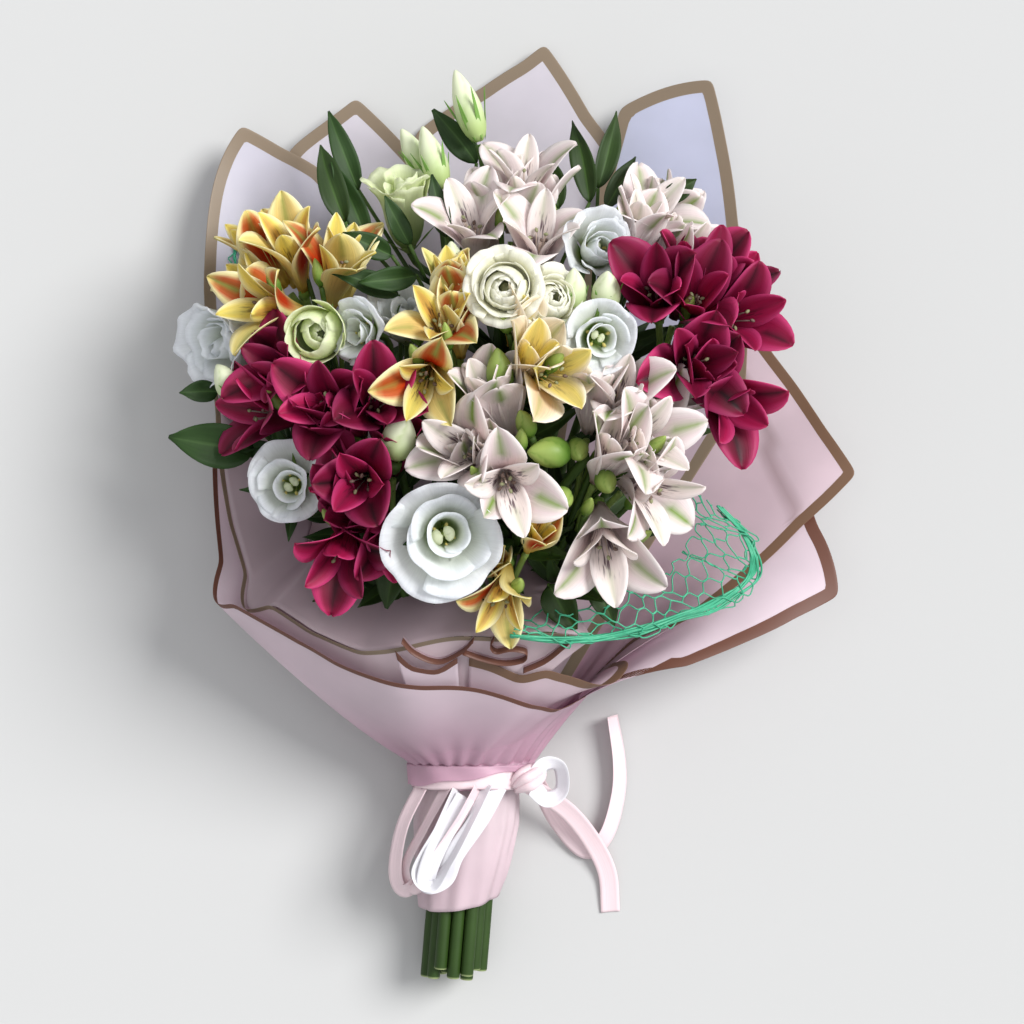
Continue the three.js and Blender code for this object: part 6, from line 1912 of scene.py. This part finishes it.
class Hem:
    """The lower end of the outer film, which hangs slanting over the band."""

    def build(self, finishes: Finishes) -> Piece:
        """Makes it: out of the cone's surface, then past the band to the hem at y = -150 + 5.5 cos(a)."""
        turn = np.linspace(0, 360, 181)[None, :-1]
        a = np.radians(turn)
        t = np.linspace(0.2, 0.0, 10)[:, None]
        cone = Cone.layer(0.2 - 1.1 * (1 - t / 0.2), turn, t)
        s = smooth_step(0, 1, np.linspace(0.1, 1, 10)[:, None])
        hem = -150 + 5.5 * np.cos(a) + 0.8 * np.sin(7 * a)
        y = ROOT_Y + (hem - ROOT_Y) * s
        out = 3.6 + 0.5 * np.sin(9 * a + 2 * s)
        z = np.maximum(TIE[2] + (ROOT_TALL + out) * np.sin(a), 0.6)
        points = np.concatenate([cone, stacked(TIE[0] + (ROOT_WIDE + out) * np.cos(a), y, z)], 0)
        shell = Shell()
        shell.sheet(points, masked(linear("#deb9cb") + 0 * points, 1.0), SHEER, loop=True)
        return shell.make("film_hem", "frosted_film", [finishes.front_film])


class Skirt:
    """The film below the binding, drawn in round the stalks."""

    STATIONS = np.array(
        [
            (-138, 27.75, 21.75, 0), (-157, 27.75, 21.75, 0), (-166, 28.6, 21.7, 0.5), (-178, 29, 21.6, 0.9),
            (-200, 25.8, 21, 1.2), (SKIRT_HEM_Y, 21.8, 20.8, 0.9),
        ],
    )

    def build(self, finishes: Finishes) -> Piece:
        """Makes the skirt: an ellipse that narrows, swollen by cos(4a + 0.6) and finely pleated under the ribbon."""
        y = np.linspace(self.STATIONS[0, 0], SKIRT_HEM_Y, 40)[:, None]
        a = full_turn(144)
        order = self.STATIONS[::-1]
        wide, tall, fold = (np.interp(y, order[:, 0], order[:, k]) for k in (1, 2, 3))
        fold_in = fold * np.cos(4 * a + 0.6)
        gathered = smooth_step(-150, -164, y) * (1 - 0.6 * smooth_step(-180, SKIRT_HEM_Y, y))
        pleat = 0.45 * np.sin(17 * a + 2 * np.sin(2 * a)) * gathered
        wave = 0.8 * smooth_step(-165, SKIRT_HEM_Y, y) * np.sin(9 * a + 0.06 * y)
        reach = 1 + (fold_in + pleat + wave) / wide
        hem = smooth_step(-205, SKIRT_HEM_Y, y) * 5 * np.sin(a + 2.4)
        t = np.minimum(y, TIE[1]) - TIE[1]
        x = TIE[0] + RUN[0] * t + wide * reach * np.cos(a)
        z = np.maximum(TIE[2] + RUN[2] * t + tall * (1 + (pleat + wave) / tall) * np.sin(a), 0.5)
        points = stacked(x, y + hem, z)
        tint = blend(linear("#f5e6ea"), linear("#ead6dd"), smooth_step(-150, SKIRT_HEM_Y, y) + 0 * a)
        shell = Shell()
        shell.sheet(points, masked(tint, 1.0), SHEER, loop=True)
        return shell.make("film_skirt", "frosted_film", [finishes.skirt_film], "wrap_skirt")


# ---- net, ribbons and twine ----


@dataclass(frozen=True)
class NetSpec:
    """A puffed net between an outer and an inner edge line."""

    node: str
    outer: tuple[tuple[float, float, float], ...]
    inner: tuple[tuple[float, float, float], ...]
    puff: float
    cells: int
    lanes: int
    rolled: int


NETS = (
    NetSpec(
        "net_right",
        (
            (-1, -68, 127), (30, -71, 121), (60, -69, 112), (90, -61, 98), (118, -52, 84), (137, -37, 74),
            (134, -18, 74), (116, 2, 82),
        ),
        (
            (-2, -58, 116), (25, -54, 112), (52, -47, 108), (76, -38, 100), (92, -26, 94), (100, -14, 92),
            (102, -4, 92), (98, 8, 92),
        ),
        9, 27, 6, 12,
    ),
    NetSpec(
        "net_left", ((-158, 134, 25.4), (-157, 158, 24.2), (-142, 170, 21)),
        ((-138, 134, 19), (-134, 146, 18.4), (-126, 156, 17)), 4, 8, 4, 3,
    ),
)


class Net:
    """A knitted net: threads that zigzag from lane to lane, with a rolled edge."""

    THREAD = 0.42
    FINE = 200  # points on each edge line
    GREEN = "#2f9d76"

    def __init__(self, spec: NetSpec) -> None:
        """Takes the net's edges."""
        self.spec = spec
        self.shell = Shell()
        self.draw = Draws(23)
        self.outer = spline(np.array(spec.outer, float), self.FINE)
        self.inner = spline(np.array(spec.inner, float), self.FINE)

    def _at(self, along: Array, v: Array) -> Array:
        """Points at a share along the edges and a share v from outer to inner.

        The net rises by puff * sin(pi (0.12 + 0.8 v)), with ripples.
        """
        i = np.clip(along, 0, 1) * (self.FINE - 1)
        grid = np.arange(self.FINE)
        first = np.stack([np.interp(i, grid, self.outer[:, k]) for k in range(3)], -1)
        second = np.stack([np.interp(i, grid, self.inner[:, k]) for k in range(3)], -1)
        rise = self.spec.puff * np.sin(math.pi * (0.12 + 0.8 * v)) * (1 + 0.3 * np.sin(17 * along + 3 * v))
        ripple = 1.2 * np.sin(41 * along + 5 * v)
        points = first * (1 - v)[..., None] + second * v[..., None]
        points[..., 2] += rise + ripple
        return points

    def build(self, finishes: Finishes) -> Piece:
        """Adds the lanes' zigzags and the rolled edge, and makes the piece."""
        spec, draw = self.spec, self.draw
        green = solid(self.GREEN)
        count = spec.cells * 6 + 1
        along = np.linspace(0, 1, count)
        for lane in range(spec.lanes + 1):
            phase = lane % 2 * math.pi
            zigzag = 0.5 / spec.lanes * np.clip(1.6 * np.sin(math.pi * spec.cells * along + phase), -1, 1)
            wander = 0.012 * np.sin(9 * along + 5 * draw())
            v = np.clip((lane / spec.lanes) ** 1.15 + zigzag + wander, -0.02, 1.02)
            path = self._at(along, v)
            for k, (size, beat) in enumerate(((1.1, 23), (0.7, 51))):
                path[:, 0] += 1.7 * size * np.sin(beat * along + 2.1 * v + k)
                path[:, 1] += 1.7 * size * np.sin(beat * 1.3 * along + 4 * v + 2 * k)
            self.shell.tube(path, np.full(count, self.THREAD), green, 5)
        for _ in range(spec.rolled):
            shift, turn, beat = draw.between(-0.03, 0.16), 6 * draw(), draw.between(18, 40)
            path = self._at(along, shift + 0.02 * np.sin(beat * along + turn))
            path[:, 2] += 0.8 * np.cos(beat * along + turn)
            self.shell.tube(path, np.full(count, self.THREAD * 1.5), green, 6)
        return self.shell.make("mesh_" + spec.node, "green_net", [finishes.net], spec.node)


@dataclass(frozen=True)
class RibbonSpec:
    """A satin ribbon: its middle line, how its face tips along the way in degrees, and how it is held."""

    name: str
    line: tuple[tuple[float, float, float], ...]
    tips: tuple[float, ...]
    is_white: bool
    held: str
    nodes: tuple[str, ...] = ()
    width: float = 11.0


RIBBONS = (
    RibbonSpec(
        "satin_loop_pink",
        (
            (-50, -153, 44), (-62, -178, 47), (-66, -204, 46), (-60, -214, 48), (-47, -202, 52), (-38, -188, 54),
            (-30, -156, 53),
        ),
        (50, 50, 45, 40, 50, 50, 50), False, "gathered", ("ribbon_loop_pink",),
    ),
    RibbonSpec(
        "satin_loop_white",
        (
            (-8, -154, 55), (-18, -172, 58), (-32, -192, 59), (-38, -206, 57), (-48, -208, 58), (-42, -188, 62),
            (-26, -160, 59),
        ),
        (0, 0, 0, 20, 20, 0, 0), True, "gathered", ("ribbon_loop_white",),
    ),
    RibbonSpec(
        "satin_loop_white_inner",
        (
            (-14, -153, 57), (-25, -176, 60), (-36, -197, 61), (-45, -210, 58), (-52, -202, 58), (-41, -178, 61),
            (-31, -156, 58),
        ),
        (55, 60, 62, 50, 30, 60, 60), True, "gathered", (), 10.0,
    ),
    RibbonSpec(
        "satin_loop_pink_inner",
        (
            (-36, -153, 53), (-49, -177, 53), (-60, -200, 50), (-55, -213, 50), (-43, -196, 57), (-29, -173, 61),
            (-19, -155, 58),
        ),
        (55, 62, 60, 45, 40, 60, 60), False, "gathered", (), 10.0,
    ),
    RibbonSpec(
        "satin_loop_puff",
        ((10, -154, 50), (18, -143, 50), (27, -145, 45), (28, -158, 41), (20, -163, 42), (12, -156, 47)),
        (20, 30, 40, 40, 30, 20), True, "gathered", (), 10.0,
    ),
    RibbonSpec(
        "satin_tail_front",
        ((8, -154, 46), (18, -161, 34), (33, -173, 20), (46, -190, 10), (55, -209, 4), (57, -232, 1.2)),
        (30, 20, 15, 10, 4, 0), False, "laid", ("ribbon_tail_front",),
    ),
    RibbonSpec(
        "satin_tail_back",
        (
            (13.5, -153, 25), (26, -178, 9), (42, -196, 5), (54, -188, 6), (61, -166, 6), (62, -145, 7),
            (58, -118, 8),
        ),
        (30, 20, 25, 35, 40, 45, 55), False, "laid", ("ribbon_tail_back",),
    ),
)


class Ribbon:
    """A length of satin ribbon."""

    ROWS = 90
    COLUMNS = 7

    def __init__(self, spec: RibbonSpec) -> None:
        """Takes the ribbon's line."""
        self.spec = spec

    def build(self, finishes: Finishes) -> Piece:
        spec = self.spec
        path = spline(np.array(spec.line, float), self.ROWS)
        way = unit(np.gradient(path, axis=0))
        level = unit(np.cross(way, np.array([0.0, 0, 1])))
        tips = np.interp(np.linspace(0, 1, self.ROWS), np.linspace(0, 1, len(spec.tips)), spec.tips)
        tip = np.radians(tips)[:, None]
        across = level * np.cos(tip) + np.cross(way, level) * np.sin(tip)
        over = np.cross(way, across)
        u = np.linspace(-0.5, 0.5, self.COLUMNS)[None, :, None]
        crown = 0.6 * (0.25 - u**2) * 4
        points = path[:, None] + across[:, None] * u * spec.width + over[:, None] * crown
        points[..., 2] = np.maximum(points[..., 2], 0.3)
        shell = Shell()
        shell.sheet(points, OWN_COLOUR, RIBBON)
        satin = finishes.white_satin if spec.is_white else finishes.pink_satin
        slot = "white_satin" if spec.is_white else "pink_satin"
        piece = shell.make(spec.name, slot, [satin], *spec.nodes)
        return piece


class Binding:
    """The satin band over the film with its knot, and the twine round the stalks under it."""

    KNOT = np.array([(1, -156, 50), (5, -153, 52), (9, -151, 52), (14, -148, 48), (17, -146, 43)], float)
    TURNS, PITCH, WOUND, PLY = 4, 1.7, 19.6, 0.45  # turns of twine, their step, and the radii of coil and ply
    FIRST_TURN_Y, LAY = -144.8, 14  # y where the twine starts, and twists of its plies in one turn

    @staticmethod
    def band(finishes: Finishes) -> Piece:
        """The band: an ellipse with soft lengthwise creases, and a gathered knot."""
        y = np.linspace(-156.4, -143.8, 10)[:, None]
        a = full_turn(160)
        crease = 0.35 * np.sin(2.1 * y + 1.5 * np.sin(3 * a))
        wide, tall = ROOT_WIDE + 1.6 + crease, ROOT_TALL + 1.6 + crease
        y_here = y + 0.5 * np.sin(5 * a)
        points = stacked(TIE[0] + wide * np.cos(a), y_here, TIE[2] + tall * np.sin(a))
        shell = Shell()
        shell.sheet(points, OWN_COLOUR, 0.6, loop=True)
        t = np.linspace(0, 1, 24)
        path = spline(Binding.KNOT, len(t))
        for k in range(5):
            turn = 2 * math.pi * k / 5
            swell = (2.2 + 2.4 * np.sin(math.pi * t))[:, None]
            way = Frame.along(path[-1] - path[0])
            strand = path + swell * (math.cos(turn) * way.x + math.sin(turn) * way.y)
            shell.tube(strand, 1.4 + 1.7 * np.sin(math.pi * t), OWN_COLOUR, 14)
        return shell.make("satin_band", "pink_satin", [finishes.pink_satin], "ribbon_band")

    @staticmethod
    def twine(finishes: Finishes) -> Piece:
        """The twine: a two-ply line wound on the bundle."""
        t = np.linspace(0, Binding.TURNS * 2 * math.pi, Binding.TURNS * 64)
        y = Binding.FIRST_TURN_Y - Binding.PITCH * t / (2 * math.pi)
        lean = (y - TIE[1])[:, None] * RUN[None]
        middle = stacked(Binding.WOUND * np.cos(t), 0 * t, Binding.WOUND * np.sin(t)) + TIE + lean
        middle[:, 1] = y
        shell = Shell()
        outward = unit(stacked(np.cos(t), 0 * t, np.sin(t)))
        for side in (0.0, math.pi):
            twist = (Binding.LAY * t + side)[:, None]
            ply = outward * np.cos(twist) + np.array([0, 1.0, 0]) * np.sin(twist)
            shell.tube(middle + ply * 0.38, np.full(len(t), Binding.PLY), OWN_COLOUR, 6)
        return shell.make("twine_turns", "twine", [finishes.twine], "twine_binding")


# ---- the photograph's setting ----


class Studio:
    """A pale floor, soft light from the upper right, and a camera straight above."""

    FLOOR, SKY, SKY_LIGHT = "#c0c0bf", "#f2f4f8", 0.66
    LENS, SENSOR = 109.3, 36.0  # mm; the view is 0.593 m wide at the floor
    EYE = (0.0, -0.00055, 1.8)  # m, straight above the photo's middle
    LAMPS = (("key", "SUN", (1.9, 1.0, 2.1), 0.5, 3.65), ("top", "AREA", (-0.2, 0.0, 2.6), 2.2, 10.0))

    @staticmethod
    def _floor() -> None:
        """A matt floor, 6 m across."""
        material, tree, output = new_material("floor_matt_card")
        skin = add_node(tree, "ShaderNodeBsdfPrincipled", {"Base Color": opaque(Studio.FLOOR), "Roughness": 1.0})
        tree.links.new(skin.outputs[0], output.inputs[0])
        mesh = bpy.data.meshes.new("floor")
        mesh.from_pydata([(-3, -3, 0), (3, -3, 0), (3, 3, 0), (-3, 3, 0)], [], [(0, 1, 2, 3)])
        mesh.materials.append(material)
        floor = bpy.data.objects.new("floor", mesh)
        bpy.context.scene.collection.objects.link(floor)

    @staticmethod
    def _lamp(name: str, kind: str, at: tuple[float, float, float], size: float, power: float) -> None:
        """A soft lamp that looks at the origin.

        Args:
            name: its name.
            kind: SUN, whose size is an angle, or AREA, whose size is a side.
            at: where it stands.
            size: radians or metres.
            power: watts per square metre, or watts.
        """
        lamp = bpy.data.lights.new(name, kind)
        setattr(lamp, "angle" if kind == "SUN" else "size", size)
        lamp.energy = power
        holder = bpy.data.objects.new(name, lamp)
        axes = Frame.along(np.array(at))
        turned = np.eye(4)
        turned[:3, 0], turned[:3, 1], turned[:3, 2], turned[:3, 3] = axes.x, axes.y, axes.z, at
        holder.matrix_world = Matrix(turned.tolist())
        bpy.context.scene.collection.objects.link(holder)

    @classmethod
    def build(cls) -> None:
        """Sets floor, lamps, sky and camera."""
        scene = bpy.context.scene
        cls._floor()
        for lamp in cls.LAMPS:
            cls._lamp(*lamp)
        world = bpy.data.worlds.new("studio")
        world.use_nodes = True
        world.node_tree.nodes["Background"].inputs[0].default_value = opaque(cls.SKY)
        world.node_tree.nodes["Background"].inputs[1].default_value = cls.SKY_LIGHT
        scene.world = world
        scene.view_settings.view_transform = "Standard"
        camera = bpy.data.cameras.new("camera")
        camera.sensor_width, camera.lens = cls.SENSOR, cls.LENS
        eye = bpy.data.objects.new("camera", camera)
        eye.location = cls.EYE
        scene.collection.objects.link(eye)
        scene.camera = eye


def main() -> None:
    """Builds the bouquet and its setting."""
    logging.basicConfig(level=logging.INFO, format="%(message)s")
    finishes = Finishes()
    bunch = Bunch()
    for number, spec in enumerate(STALKS):
        Stalk(bunch, number).build(finishes)
        if spec.is_umbel:
            Umbel(bunch, number).build(finishes)
    for number, bloom in enumerate(bunch.blooms):
        if bloom.spec.shape is not Shape.FLORET:
            Bowl(bloom, number).build(finishes)
    for film in FILMS:
        FilmSheet(film).build(finishes)
    Lining().build(finishes)
    Ruffles().build(finishes)
    Hem().build(finishes)
    Skirt().build(finishes)
    for net in NETS:
        Net(net).build(finishes)
    for ribbon in RIBBONS:
        Ribbon(ribbon).build(finishes)
    Binding.band(finishes)
    Binding.twine(finishes)
    Studio.build()


if __name__ == "__main__":
    main()
